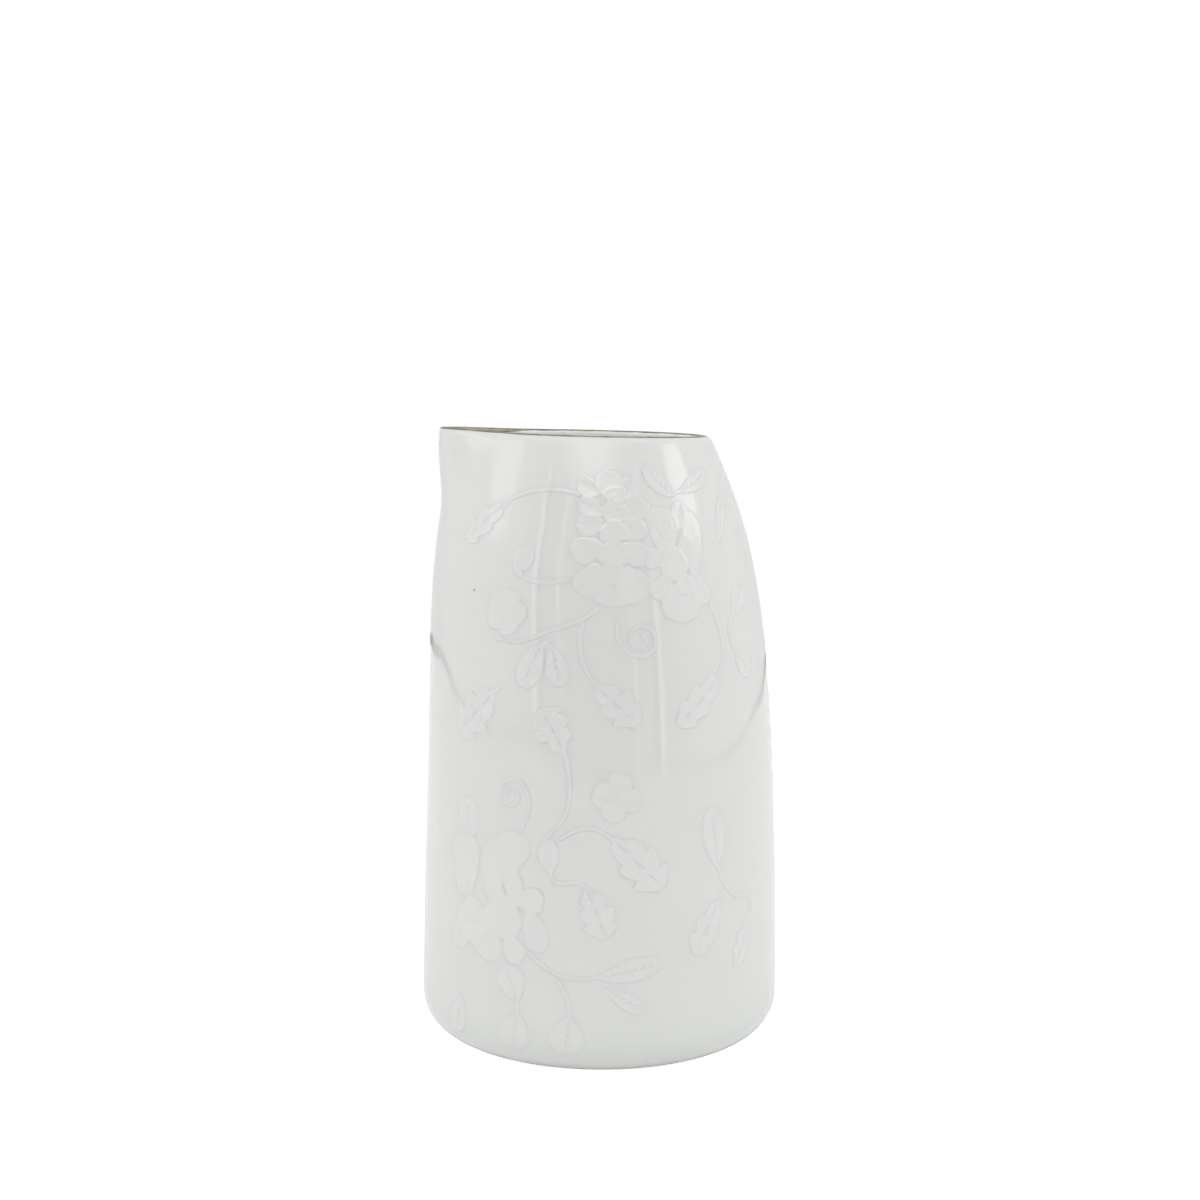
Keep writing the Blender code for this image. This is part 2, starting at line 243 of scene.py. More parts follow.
class Chart:
    """A flat drawing plane laid on the skin round one place."""

    def __init__(self, turn: float, height: float) -> None:
        """Lay the plane at a turn in degrees and a height in metres.

        Args:
            turn: Turn of the plane, in degrees.
            height: Height of the plane, in metres.
        """
        self.turn = turn
        self.height = height
        place = JUG.skin(np.array([turn]), np.array([height]), np.zeros(1))[0]
        self.radius = float(np.hypot(place[0], place[1]))
        self.climb = float(JUG.side_normal(np.array([height]))[0][0])

    def flat(self, turn: float, height: float) -> np.ndarray:
        """Where a place on the skin falls on the drawing plane."""
        return np.array([math.radians(turn - self.turn) * self.radius, (height - self.height) / self.climb])

    def place(self, across: np.ndarray, up: np.ndarray, lift: np.ndarray) -> np.ndarray:
        """Put spots of the drawing plane on the skin, lifted off it."""
        turn = self.turn + np.degrees(across / self.radius)
        return JUG.skin(turn, self.height + up * self.climb, lift)


# Meshes ----------------------------------------

def make_piece(name: str, points: np.ndarray, faces: list, crisp: float = 60.0) -> bpy.types.Object:
    """Make a smooth-shaded object.

    Args:
        name: Name of the piece.
        points: Its points, one row each.
        faces: Lists of point numbers.
        crisp: Edges sharper than this many degrees stay crisp.

    Returns:
        The object, linked to the scene.
    """
    mesh = bpy.data.meshes.new(name)
    mesh.from_pydata(points.tolist(), [], faces)
    mesh.validate()
    mesh.shade_smooth()
    mesh.set_sharp_from_angle(angle=math.radians(crisp))
    piece = bpy.data.objects.new(name, mesh)
    bpy.context.scene.collection.objects.link(piece)
    return piece


def ring_faces(rows: int, columns: int, close_rows: bool = False) -> list:
    """Quads between rows of points whose columns run all the way round.

    Args:
        rows: Number of rows.
        columns: Points in each row.
        close_rows: Whether the last row joins the first.

    Returns:
        The quads, as lists of point numbers.
    """
    last = rows if close_rows else rows - 1
    row, column = np.meshgrid(np.arange(last), np.arange(columns), indexing="ij")
    after_row, after_column = (row + 1) % rows, (column + 1) % columns
    corners = [row * columns + column, row * columns + after_column,
               after_row * columns + after_column, after_row * columns + column]
    return np.stack(corners, axis=-1).reshape(-1, 4).tolist()


def add_heights(piece: bpy.types.Object, heights: np.ndarray) -> None:
    """Keep how far each point stands off the wall; the glaze is tinted darker at low points, as thick glaze and
    painted shade.
    """
    layer = piece.data.attributes.new("relief_height", "FLOAT", "POINT")
    layer.data.foreach_set("value", heights.astype(np.float32).ravel())


def raised_piece(name: str, chart: Chart, across: np.ndarray, up: np.ndarray, lift: np.ndarray,
                 flip: bool, under: int = 3, depth: float = 0.3 * MM) -> bpy.types.Object:
    """Make a closed piece of relief whose top is a grid and whose underside lies inside the wall.

    Args:
        name: Name of the piece.
        chart: Drawing plane of the piece.
        across: Grid of distances across the plane, a row for each station.
        up: Grid of distances up the plane.
        lift: Grid of heights off the wall.
        flip: Whether the grid runs the other way round.
        under: Points across the underside.
        depth: How deep the underside lies in the wall.

    Returns:
        The object, with its relief heights kept.
    """
    columns = across.shape[1]
    picks = np.linspace(columns - 1, 0, under).round().astype(int)
    across_all = np.concatenate([across, across[:, picks]], axis=1)
    up_all = np.concatenate([up, up[:, picks]], axis=1)
    lift_all = np.concatenate([lift, np.full((across.shape[0], under), -depth)], axis=1)
    points = chart.place(across_all, up_all, lift_all)
    rows, around = across_all.shape
    faces = ring_faces(rows, around)
    faces.append(list(range(around))[::-1])
    faces.append([(rows - 1) * around + place for place in range(around)])
    if flip:
        faces = [face[::-1] for face in faces]
    piece = make_piece(name, points.reshape(-1, 3), faces)
    add_heights(piece, lift_all)
    return piece


# Nodes ----------------------------------------

class Bench:
    """A node tree with short ways to add and join nodes."""

    def __init__(self, tree: bpy.types.NodeTree) -> None:
        """Work on a tree."""
        self.tree = tree

    def add(self, kind: str, inputs: dict | None = None, **settings: object) -> bpy.types.Node:
        """Add a node.

        Args:
            kind: Type of the node.
            inputs: Values or sockets, by input name or number.
            settings: Properties of the node.

        Returns:
            The new node.
        """
        node = self.tree.nodes.new(kind)
        for key, value in settings.items():
            setattr(node, key, value)
        for key, value in (inputs or {}).items():
            if isinstance(value, bpy.types.NodeSocket):
                self.tree.links.new(value, node.inputs[key])
            else:
                node.inputs[key].default_value = value
        return node

    def math(self, operation: str, first: object, second: object = 0.0, third: object = 0.0) -> bpy.types.NodeSocket:
        """Value of a Math node."""
        node = self.add("ShaderNodeMath", {0: first, 1: second, 2: third}, operation=operation)
        return node.outputs[0]

    def step(self, value: object, low: float, high: float) -> bpy.types.NodeSocket:
        """Smooth rise from 0 at low to 1 at high."""
        node = self.add("ShaderNodeMapRange", {"Value": value, "From Min": low, "From Max": high},
                        interpolation_type="SMOOTHSTEP")
        return node.outputs["Result"]

    def blend(self, share: object, first: object, second: object) -> bpy.types.NodeSocket:
        """Mix of two colours.

        Args:
            share: Share of the second colour.
            first: Colour at 0.
            second: Colour at 1.

        Returns:
            The mixed colour.
        """
        node = self.add("ShaderNodeMix", data_type="RGBA")
        colours = [socket for socket in node.inputs if socket.type == "RGBA"]
        for socket, value in zip((node.inputs[0], colours[0], colours[1]), (share, first, second)):
            if isinstance(value, bpy.types.NodeSocket):
                self.tree.links.new(value, socket)
            else:
                socket.default_value = value
        return [socket for socket in node.outputs if socket.type == "RGBA"][0]

    def noise(self, place: object, scale: float, detail: float = 3.0) -> bpy.types.NodeSocket:
        """Value of a noise texture at a place."""
        node = self.add("ShaderNodeTexNoise", {"Vector": place, "Scale": scale, "Detail": detail})
        return node.outputs["Fac"]


def new_group(name: str, inputs: dict, outputs: dict) -> tuple[bpy.types.NodeTree, Bench, dict, bpy.types.Node]:
    """Start a shader node group.

    Args:
        name: Name of the group.
        inputs: Socket types and default values, by input name.
        outputs: Socket types, by output name.

    Returns:
        The group, a bench on it, its input sockets by name and its output node.
    """
    group = bpy.data.node_groups.new(name, "ShaderNodeTree")
    for label, (kind, value) in inputs.items():
        socket = group.interface.new_socket(label, in_out="INPUT", socket_type=kind)
        socket.default_value = value
    for label, kind in outputs.items():
        group.interface.new_socket(label, in_out="OUTPUT", socket_type=kind)
    bench = Bench(group)
    source = bench.add("NodeGroupInput")
    sink = bench.add("NodeGroupOutput")
    return group, bench, {label: source.outputs[label] for label in inputs}, sink


def glaze_flow_group() -> bpy.types.NodeTree:
    """Group for the slight waves, tint and gloss changes of a clear glaze.

    Returns:
        The node group.
    """
    colour, value = "NodeSocketColor", "NodeSocketFloat"
    group, bench, given, sink = new_group(
        "glaze_flow",
        {"Clay": (colour, (0.8, 0.8, 0.8, 1)), "Pooled_And_Shaded": (colour, (0.7, 0.7, 0.7, 1)), "Pool_And_Shade": (value, 0.0),
         "Gloss": (value, 0.06), "Haze": (value, 0.05)},
        {"Colour": colour, "Roughness": value, "Waves": value})
    place = bench.add("ShaderNodeTexCoord").outputs["Object"]
    cloud = bench.noise(place, 45.0, 4.0)
    fine = bench.noise(place, 900.0, 2.0)
    slow = bench.noise(place, 120.0, 2.0)
    tint = bench.math("MULTIPLY", bench.step(cloud, 0.35, 0.75), 0.16)
    # The share given in adds painted shade and thick glaze to the random tint.
    share = bench.math("ADD", tint, given["Pool_And_Shade"])
    share = bench.math("MINIMUM", share, 1.0)
    tinted = bench.blend(share, given["Clay"], given["Pooled_And_Shaded"])
    haze = bench.math("MULTIPLY", bench.step(slow, 0.3, 0.8), given["Haze"])
    grain = bench.math("MULTIPLY", bench.math("SUBTRACT", fine, 0.5), 0.02)
    rough = bench.math("ADD", bench.math("ADD", given["Gloss"], haze), grain)
    waves = bench.math("ADD", bench.math("MULTIPLY", slow, 0.8), bench.math("MULTIPLY", fine, 0.05))
    for label, made in (("Colour", tinted), ("Roughness", rough), ("Waves", waves)):
        group.links.new(made, sink.inputs[label])
    return group


def pin_specks_group() -> bpy.types.NodeTree:
    """Group for the rare pin-head specks that fire out of clay and glaze.

    Returns:
        The node group.
    """
    value = "NodeSocketFloat"
    group, bench, given, sink = new_group(
        "pin_specks",
        {"Scale": (value, 160.0), "Size": (value, 0.05), "Rarity": (value, 0.985)},
        {"Mask": value})
    place = bench.add("ShaderNodeTexCoord").outputs["Object"]
    cells = bench.add("ShaderNodeTexVoronoi", {"Vector": place, "Scale": given["Scale"]})
    near = bench.math("LESS_THAN", cells.outputs["Distance"], given["Size"])
    chosen = bench.add("ShaderNodeSeparateColor", {0: cells.outputs["Color"]}).outputs[0]
    rare = bench.math("GREATER_THAN", chosen, given["Rarity"])
    group.links.new(bench.math("MULTIPLY", near, rare), sink.inputs["Mask"])
    return group


def worn_film_group() -> bpy.types.NodeTree:
    """Group for fired metal film: brushed-on thickness, rubbed thin places and fine scratches.

    Returns:
        The node group.
    """
    colour, value = "NodeSocketColor", "NodeSocketFloat"
    group, bench, given, sink = new_group(
        "worn_film",
        {"Metal": (colour, (0.5, 0.45, 0.33, 1)), "Thin": (colour, (0.3, 0.28, 0.22, 1)),
         "Wear": (value, 0.5)},
        {"Colour": colour, "Roughness": value, "Film": value, "Scratches": value})
    place = bench.add("ShaderNodeTexCoord").outputs["Object"]
    strokes = bench.noise(place, 320.0, 4.0)
    rubs = bench.noise(place, 1500.0, 3.0)
    patches = bench.noise(place, 90.0, 3.0)
    shade = bench.blend(bench.step(strokes, 0.3, 0.75), given["Metal"], given["Thin"])
    rubbed = bench.math("MULTIPLY", bench.step(patches, 0.62, 0.8), bench.step(rubs, 0.45, 0.6))
    film = bench.math("SUBTRACT", 1.0, bench.math("MULTIPLY", rubbed, given["Wear"]))
    rough = bench.math("ADD", 0.22, bench.math("MULTIPLY", strokes, 0.25))
    for label, made in (("Colour", shade), ("Roughness", rough), ("Film", film), ("Scratches", rubs)):
        group.links.new(made, sink.inputs[label])
    return group


@dataclass(frozen=True)
class Workshop:
    """The shared node groups, made once.

    Attributes:
        glaze_flow: Colour, roughness and waves of a flowing glaze.
        pin_specks: Mask of fine specks.
        worn_film: A brushed metal film with rubbed places.
    """

    glaze_flow: bpy.types.NodeTree = field(default_factory=glaze_flow_group)
    pin_specks: bpy.types.NodeTree = field(default_factory=pin_specks_group)
    worn_film: bpy.types.NodeTree = field(default_factory=worn_film_group)


@dataclass(frozen=True)
class GlazedPorcelain:
    """Clear gloss glaze over white bone china, left bare on the foot ring.

    Attributes:
        name: Name of the material.
        clay: Colour of the china through thin glaze.
        pooled_and_shaded: Darker colour for thick glaze and its random tint, and for the painted shade at the foot
            of the relief and towards the jug's foot.
        speck: Colour of specks.
        speck_place: Where one larger speck is.
        speck_radius: Radius of that speck.
        pooling_and_shade: How strongly the low parts of the relief take the darker colour: glaze lying thick there,
            and painted shade.
        inside: Whiter colour of the hollow, painted light for the light that falls into it.
        painted_inner_glow: Glow painted on the hollow's wall, painted light as if light shone through the thin
            china.
        bare: Colour of the unglazed foot ring.
        bare_height: The wall is bare below this height.
        gloss: Roughness of the clearest glaze.
        haze: How much rougher the cloudy places are.
        wave_height: Height of the glaze's waves.
    """

    name: str = "glazed_porcelain"
    clay: tuple = (0.71, 0.72, 0.702, 1)
    pooled_and_shaded: tuple = (0.645, 0.665, 0.65, 1)
    inside: tuple = (0.93, 0.93, 0.915, 1)
    painted_inner_glow: tuple = (0.05, 0.05, 0.048, 1)
    bare: tuple = (0.74, 0.72, 0.67, 1)
    speck: tuple = (0.30, 0.29, 0.26, 1)
    speck_place: tuple = (0.0, 0.0, 0.0)
    speck_radius: float = 0.00022
    bare_height: float = 0.0004
    pooling_and_shade: float = 0.55
    gloss: float = 0.05
    haze: float = 0.03
    wave_height: float = 0.00002

    def build(self, shop: Workshop) -> bpy.types.Material:
        """Make the material.

        Args:
            shop: The shared node groups.

        Returns:
            The material.
        """
        material = bpy.data.materials.new(self.name)
        material.use_nodes = True
        tree = material.node_tree
        bench = Bench(tree)
        shader = tree.nodes["Principled BSDF"]
        place = bench.add("ShaderNodeTexCoord").outputs["Object"]
        upward = bench.add("ShaderNodeSeparateXYZ", {0: place}).outputs["Z"]
        height = bench.add("ShaderNodeAttribute", attribute_name="relief_height").outputs["Fac"]
        standing = bench.step(height, 0.02 * MM, 0.14 * MM)
        # Painted shade and thick glaze at the foot of the relief: its low parts take the darker colour.
        low = bench.math("MULTIPLY", bench.math("SUBTRACT", 1.0, bench.step(height, 0.1 * MM, 0.26 * MM)), standing)
        # Darker towards the foot of the jug, with the same darker colour.
        darker_near_foot = bench.step(upward, 0.012, 0.003)
        pool_and_shade = bench.math("ADD", bench.math("MULTIPLY", low, self.pooling_and_shade), bench.math("MULTIPLY", darker_near_foot, 0.5))
        flow = bench.add("ShaderNodeGroup", node_tree=shop.glaze_flow)
        flow.inputs["Clay"].default_value = self.clay
        flow.inputs["Pooled_And_Shaded"].default_value = self.pooled_and_shaded
        flow.inputs["Gloss"].default_value = self.gloss
        flow.inputs["Haze"].default_value = self.haze
        tree.links.new(pool_and_shade, flow.inputs["Pool_And_Shade"])
        specks = bench.add("ShaderNodeGroup", node_tree=shop.pin_specks)
        one_speck = bench.add("ShaderNodeVectorMath", {0: place, 1: self.speck_place}, operation="DISTANCE")
        near = bench.step(one_speck.outputs["Value"], self.speck_radius * 1.4, self.speck_radius * 0.6)
        marked = bench.math("MAXIMUM", bench.math("MULTIPLY", specks.outputs["Mask"], 0.25), near)
        # The hollow is painted whiter and given a glow: painted light, not a glaze colour.
        inside = bench.add("ShaderNodeAttribute", attribute_name="inside").outputs["Fac"]
        painted_inside_light = bench.blend(inside, flow.outputs["Colour"], self.inside)
        speckled = bench.blend(marked, painted_inside_light, self.speck)
        glazed = bench.step(upward, self.bare_height, self.bare_height * 2)
        tree.links.new(bench.blend(glazed, self.bare, speckled), shader.inputs["Base Color"])
        bare_rough = bench.math("MULTIPLY", bench.math("SUBTRACT", 1.0, glazed), 0.6)
        tree.links.new(bench.math("ADD", flow.outputs["Roughness"], bare_rough), shader.inputs["Roughness"])
        bump = bench.add("ShaderNodeBump", {"Height": flow.outputs["Waves"], "Distance": self.wave_height,
                                            "Strength": 1.0})
        tree.links.new(bump.outputs["Normal"], shader.inputs["Normal"])
        # Painted glow on the hollow's wall, though the china is no lamp.
        tree.links.new(bench.blend(inside, (0, 0, 0, 1), self.painted_inner_glow), shader.inputs["Emission Color"])
        shader.inputs["Emission Strength"].default_value = 1.0
        shader.inputs["IOR"].default_value = 1.6
        shader.inputs["Subsurface Weight"].default_value = 0.35
        shader.inputs["Subsurface Radius"].default_value = (1.0, 0.95, 0.8)
        shader.inputs["Subsurface Scale"].default_value = 1.2 * MM
        return material


@dataclass(frozen=True)
class RimMetal:
    """Fired pale gold film, burnished, with thin brush strokes and rubbed places.

    Attributes:
        name: Name of the material.
        metal: Colour of the full film.
        thin: Colour of the film where it is thin.
        china: Colour of the china where the film is rubbed off.
        wear: How much of the film is worn.
    """

    name: str = "rim_metal"
    metal: tuple = (0.34, 0.31, 0.22, 1)
    thin: tuple = (0.18, 0.165, 0.13, 1)
    china: tuple = (0.78, 0.78, 0.74, 1)
    wear: float = 0.5

    def build(self, shop: Workshop) -> bpy.types.Material:
        """Make the material.

        Args:
            shop: The shared node groups.

        Returns:
            The material.
        """
        material = bpy.data.materials.new(self.name)
        material.use_nodes = True
        tree = material.node_tree
        bench = Bench(tree)
        shader = tree.nodes["Principled BSDF"]
        film = bench.add("ShaderNodeGroup", node_tree=shop.worn_film)
        film.inputs["Metal"].default_value = self.metal
        film.inputs["Thin"].default_value = self.thin
        film.inputs["Wear"].default_value = self.wear
        tree.links.new(bench.blend(film.outputs["Film"], self.china, film.outputs["Colour"]),
                       shader.inputs["Base Color"])
        tree.links.new(film.outputs["Film"], shader.inputs["Metallic"])
        tree.links.new(film.outputs["Roughness"], shader.inputs["Roughness"])
        bump = bench.add("ShaderNodeBump", {"Height": film.outputs["Scratches"], "Distance": 0.004 * MM,
                                            "Strength": 1.0})
        tree.links.new(bump.outputs["Normal"], shader.inputs["Normal"])
        return material


@dataclass(frozen=True)
class PaleFloor:
    """Plain matt white table top, lit through from below.

    Attributes:
        name: Name of the material.
        glow: Light of the table top itself, as the camera sees it.
        back_glow: Light that it gives to the foot standing on it.
        glow_radius: The light on the foot comes from inside this radius.
    """

    name: str = "pale_floor"
    glow: float = 0.85
    back_glow: float = 0.10
    glow_radius: float = 0.050

    def build(self) -> bpy.types.Material:
        """Make the material.

        Returns:
            The material.
        """
        material = bpy.data.materials.new(self.name)
        material.use_nodes = True
        bench = Bench(material.node_tree)
        shader = material.node_tree.nodes["Principled BSDF"]
        place = bench.add("ShaderNodeTexCoord").outputs["Object"]
        shade = bench.math("MULTIPLY_ADD", bench.noise(place, 60.0), 0.02, 0.92)
        colour = bench.add("ShaderNodeCombineColor", {0: shade, 1: shade, 2: shade}).outputs[0]
        material.node_tree.links.new(colour, shader.inputs["Base Color"])
        apart = bench.add("ShaderNodeVectorMath", {0: place}, operation="LENGTH").outputs["Value"]
        under = bench.math("MULTIPLY", bench.step(apart, self.glow_radius, self.glow_radius * 0.6), self.back_glow)
        seen = bench.add("ShaderNodeLightPath").outputs["Is Camera Ray"]
        given = bench.math("ADD", bench.math("MULTIPLY", under, bench.math("SUBTRACT", 1.0, seen)),
                           bench.math("MULTIPLY", seen, self.glow))
        light = bench.add("ShaderNodeCombineColor", {0: given, 1: given, 2: given}).outputs[0]
        material.node_tree.links.new(light, shader.inputs["Emission Color"])
        shader.inputs["Emission Strength"].default_value = 1.0
        shader.inputs["Roughness"].default_value = 0.9
        shader.inputs["Specular IOR Level"].default_value = 0.0
        return material


# Sub-assemblies ----------------------------------------

@dataclass
class PorcelainBody:
    """The cast body: foot ring, rounded foot, side, spout, rounded lip and hollow inside.

    Attributes:
        node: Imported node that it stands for.
        wall: Thickness of the wall.
        lip_wall: Thickness of the wall at the lip.
        shoulder: Radius of the lip's outer rounding.
        floor: Thickness of the floor.
        segments: Points round the body.
        side_rings: Rings up the side.
        foot_ring_width: Width of the foot ring.
        foot_recess: Depth of the dish inside the foot ring.
        foot_edge: Rounding of the foot ring's edges.
        floor_rounding: Radius between floor and wall inside.
        film: Room left over the lip for the metal.
        inside_rings: Rings down the hollow.
    """

    node: str = "porcelain_body"
    wall: float = 2.5 * MM
    lip_wall: float = 2.0 * MM
    shoulder: float = 2.1 * MM
    floor: float = 3.0 * MM
    foot_ring_width: float = 2.8 * MM
    foot_recess: float = 1.6 * MM
    foot_edge: float = 0.35 * MM
    floor_rounding: float = 6.0 * MM
    film: float = 0.04 * MM
    segments: int = 288
    side_rings: int = 120
    inside_rings: int = 64

    def lip(self) -> tuple[np.ndarray, np.ndarray, float, float]:
        """Lay out the lip's two roundings.

        Returns:
            Centres of the shoulder and the inner rounding, the inner radius, and the angle where the side ends.
        """
        crest = JUG.height - self.film
        height = np.array([crest])
        for _ in range(8):
            height = crest - self.shoulder * (1 - JUG.side_normal(height)[1])
        outward, upward = (float(part[0]) for part in JUG.side_normal(height))
        inner = (self.lip_wall - self.shoulder * (1 - upward)) / (1 + upward)
        centre = np.array([float(JUG.side_radius(height)[0]) - outward * self.shoulder,
                           float(height[0]) - upward * self.shoulder])
        return centre, np.array([centre[0], crest - inner]), inner, math.atan2(upward, outward)

    @staticmethod
    def arc(centre: np.ndarray, radius: float, first: float, last: float, count: int) -> np.ndarray:
        """Points of an arc as (radius, height), its angles counted from outward to up."""
        angles = np.linspace(first, last, count)
        return centre + np.stack([np.cos(angles), np.sin(angles)], axis=-1) * radius

    def inner_wall(self, heights: np.ndarray, top: float) -> np.ndarray:
        """Points of the hollow's wall, moved in from the side by the wall's thickness.

        Args:
            heights: Heights in metres.
            top: Height where the side ends.

        Returns:
            The points as (radius, height).
        """
        inset = self.lip_wall + (self.wall - self.lip_wall) * JUG.smooth_step(top - heights, 0, JUG.height / 4)
        outward, upward = JUG.side_normal(heights)
        return np.stack([JUG.side_radius(heights) - outward * inset, heights - upward * inset], axis=-1)

    def outline(self) -> tuple[np.ndarray, np.ndarray]:
        """Draw the whole outline, from under the floor to the hollow.

        Returns:
            The outline as (radius, height), and the share of the lip's push that each of its points takes.
        """
        ring_outer = JUG.foot_radius - JUG.foot_rounding
        ring_inner = ring_outer - self.foot_ring_width
        edge = self.foot_edge
        dish_radius = ring_inner - self.foot_recess / 2
        dish = np.stack([np.linspace(0.5 * MM, dish_radius - edge, 9), np.full(9, self.foot_recess)], axis=-1)
        slope = np.array([[dish_radius, self.foot_recess - edge * 0.4], [ring_inner - edge * 0.3, edge * 0.8],
                          [ring_inner + edge * 0.1, edge * 0.25], [ring_inner + edge, 0.0],
                          [ring_inner + self.foot_ring_width / 2, 0.0], [ring_outer - edge, 0.0]])
        turns = np.linspace(0.12, math.pi / 2, 18)
        low_heights = JUG.foot_rounding * (1 - np.cos(turns))
        rounding = np.stack([JUG.side_radius(low_heights), low_heights], axis=-1)
        centre, inner_centre, inner, angle = self.lip()
        top = centre[1] + math.sin(angle) * self.shoulder
        climb = np.linspace(0, 1, self.side_rings)
        heights = JUG.foot_rounding + (top - JUG.foot_rounding) * (climb * 1.35 - climb ** 2 * 0.35)
        side = np.stack([JUG.side_radius(heights), heights], axis=-1)[1:-1]
        lip = np.concatenate([self.arc(centre, self.shoulder, angle, math.pi / 2, 13),
                              self.arc(inner_centre, inner, math.pi / 2, math.pi + angle, 10)[1:]])
        level = self.foot_recess + self.floor
        corner_height = level + self.floor_rounding
        corner_radius = float(self.inner_wall(np.array([corner_height]), top)[0, 0])
        inside_heights = np.linspace(top - 0.6 * MM, corner_height, self.inside_rings)
        inside = self.inner_wall(inside_heights, top)
        inside = inside[(inside[:, 1] < lip[-1, 1] - 0.3 * MM) & (inside[:, 1] > corner_height + 0.3 * MM)]
        corner = self.arc(np.array([corner_radius - self.floor_rounding, corner_height]), self.floor_rounding,
                          0, -math.pi / 2, 14)
        flat = np.linspace(corner_radius - self.floor_rounding, 0.5 * MM, 12)[1:]
        floor = np.stack([flat, np.full(len(flat), level)], axis=-1)
        outline = np.concatenate([dish, slope, rounding, side, lip, inside, corner, floor])
        push = np.zeros(len(outline))
        first = len(dish) + len(slope) + len(rounding) + len(side)
        push[first:first + 13] = np.linspace(0, 1, 13) ** 1.5
        push[first + 13:] = JUG.smooth_step(outline[first + 13:, 1], JUG.height - 9 * MM, JUG.height - 1 * MM)
        return outline, push

    def build(self, finish: bpy.types.Material) -> bpy.types.Object:
        """Make, dress and place the body.

        Args:
            finish: Material of the body.

        Returns:
            The piece.
        """
        outline, push = self.outline()
        around = np.linspace(0, math.tau, self.segments, endpoint=False)
        radius = outline[:, :1] + push[:, None] * JUG.lip_push(around)[None]
        height = np.repeat(outline[:, 1:], self.segments, axis=1)
        turns = np.repeat(around[None], len(outline), axis=0)
        points = JUG.drawn_out(turns, radius, height)
        faces = ring_faces(len(outline), self.segments)
        last = (len(outline) - 1) * self.segments
        faces.append(list(range(self.segments))[::-1])
        faces.append([last + place for place in range(self.segments)])
        piece = make_piece("cast_body", points.reshape(-1, 3), faces, crisp=50.0)
        # Marks the hollow, which the material paints whiter and glowing as painted light.
        crest = int(np.argmax(outline[:, 1]))
        in_hollow = np.repeat(np.arange(len(outline)) > crest, self.segments).astype(float)
        piece.data.attributes.new("inside", "FLOAT", "POINT").data.foreach_set("value", in_hollow)
        piece.data.materials.append(finish)
        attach(piece, "root")
        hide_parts(self.node)
        return piece


@dataclass
class RimLine:
    """The fired metal line over the lip, brushed on by hand so that its edges waver.

    Attributes:
        node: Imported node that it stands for.
        film: Thickness of the metal.
        reach: How far it reaches out over the shoulder.
        inner_reach: How far it reaches round to the inside.
        spout_depth: How much further it reaches inside the spout.
        waver: How much its edges waver.
        segments: Points round the line.
        over: Points across each rounding.
    """

    node: str = "rim_line"
    film: float = 0.03 * MM
    reach: float = 0.85 * MM
    inner_reach: float = 0.52 * MM
    spout_depth: float = 2.2 * MM
    waver: float = 0.07 * MM
    segments: int = 540
    over: int = 7

    def build(self, body: PorcelainBody, finish: bpy.types.Material) -> bpy.types.Object:
        """Make, dress and place the line over a body's lip.

        Args:
            body: The body that it lies on.
            finish: Material of the line.

        Returns:
            The piece.
        """
        centre, inner_centre, inner, angle = body.lip()
        around = np.linspace(0, math.tau, self.segments, endpoint=False)
        from_spout = np.arctan2(np.cos(around), -np.sin(around))
        wander = np.sin(around * 17 + 1.3) * 0.5 + np.sin(around * 41) * 0.3 + np.sin(around * 89 + 2) * 0.2
        top = math.pi / 2
        start = top - (self.reach + self.waver * wander) / body.shoulder
        run = self.inner_reach + self.waver * np.roll(wander, 31)
        run = run + self.spout_depth * np.exp(-(from_spout / JUG.spout_half_angle / 1.25) ** 2)
        share = np.linspace(0, 1, self.over)
        inside = run[:, None] * np.linspace(0, 1, 2 * self.over)[1:]
        bent = np.minimum(inside / inner, math.pi / 2 + angle)
        straight = np.maximum(inside - (math.pi / 2 + angle) * inner, 0)
        down = np.array([math.sin(angle), -math.cos(angle)])
        layers = []
        for lift, way in ((self.film, 1), (-0.15 * MM, -1)):
            turns = start[:, None] + (top - start[:, None]) * share
            outer = centre + np.stack([np.cos(turns), np.sin(turns)], axis=-1) * (body.shoulder + lift)
            spokes = np.stack([-np.sin(bent), np.cos(bent)], axis=-1)
            over = inner_centre + spokes * (inner + lift) + down * straight[..., None]
            layers.append(np.concatenate([outer, over], axis=1)[:, ::way])
        section = np.concatenate(layers, axis=1)
        columns = section.shape[1]
        edge = (top - turns) / (top - angle)
        push = np.concatenate([(1 - edge) ** 1.5, np.ones_like(inside)], axis=1)
        push = np.concatenate([push, push[:, ::-1]], axis=1) * JUG.lip_push(around)[:, None]
        points = JUG.drawn_out(np.repeat(around[:, None], columns, axis=1), section[..., 0] + push, section[..., 1])
        faces = [face[::-1] for face in ring_faces(self.segments, columns, close_rows=True)]
        piece = make_piece("metal_line", points.reshape(-1, 3), faces, crisp=70.0)
        piece.data.materials.append(finish)
        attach(piece, "root")
        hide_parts(self.node)
        return piece


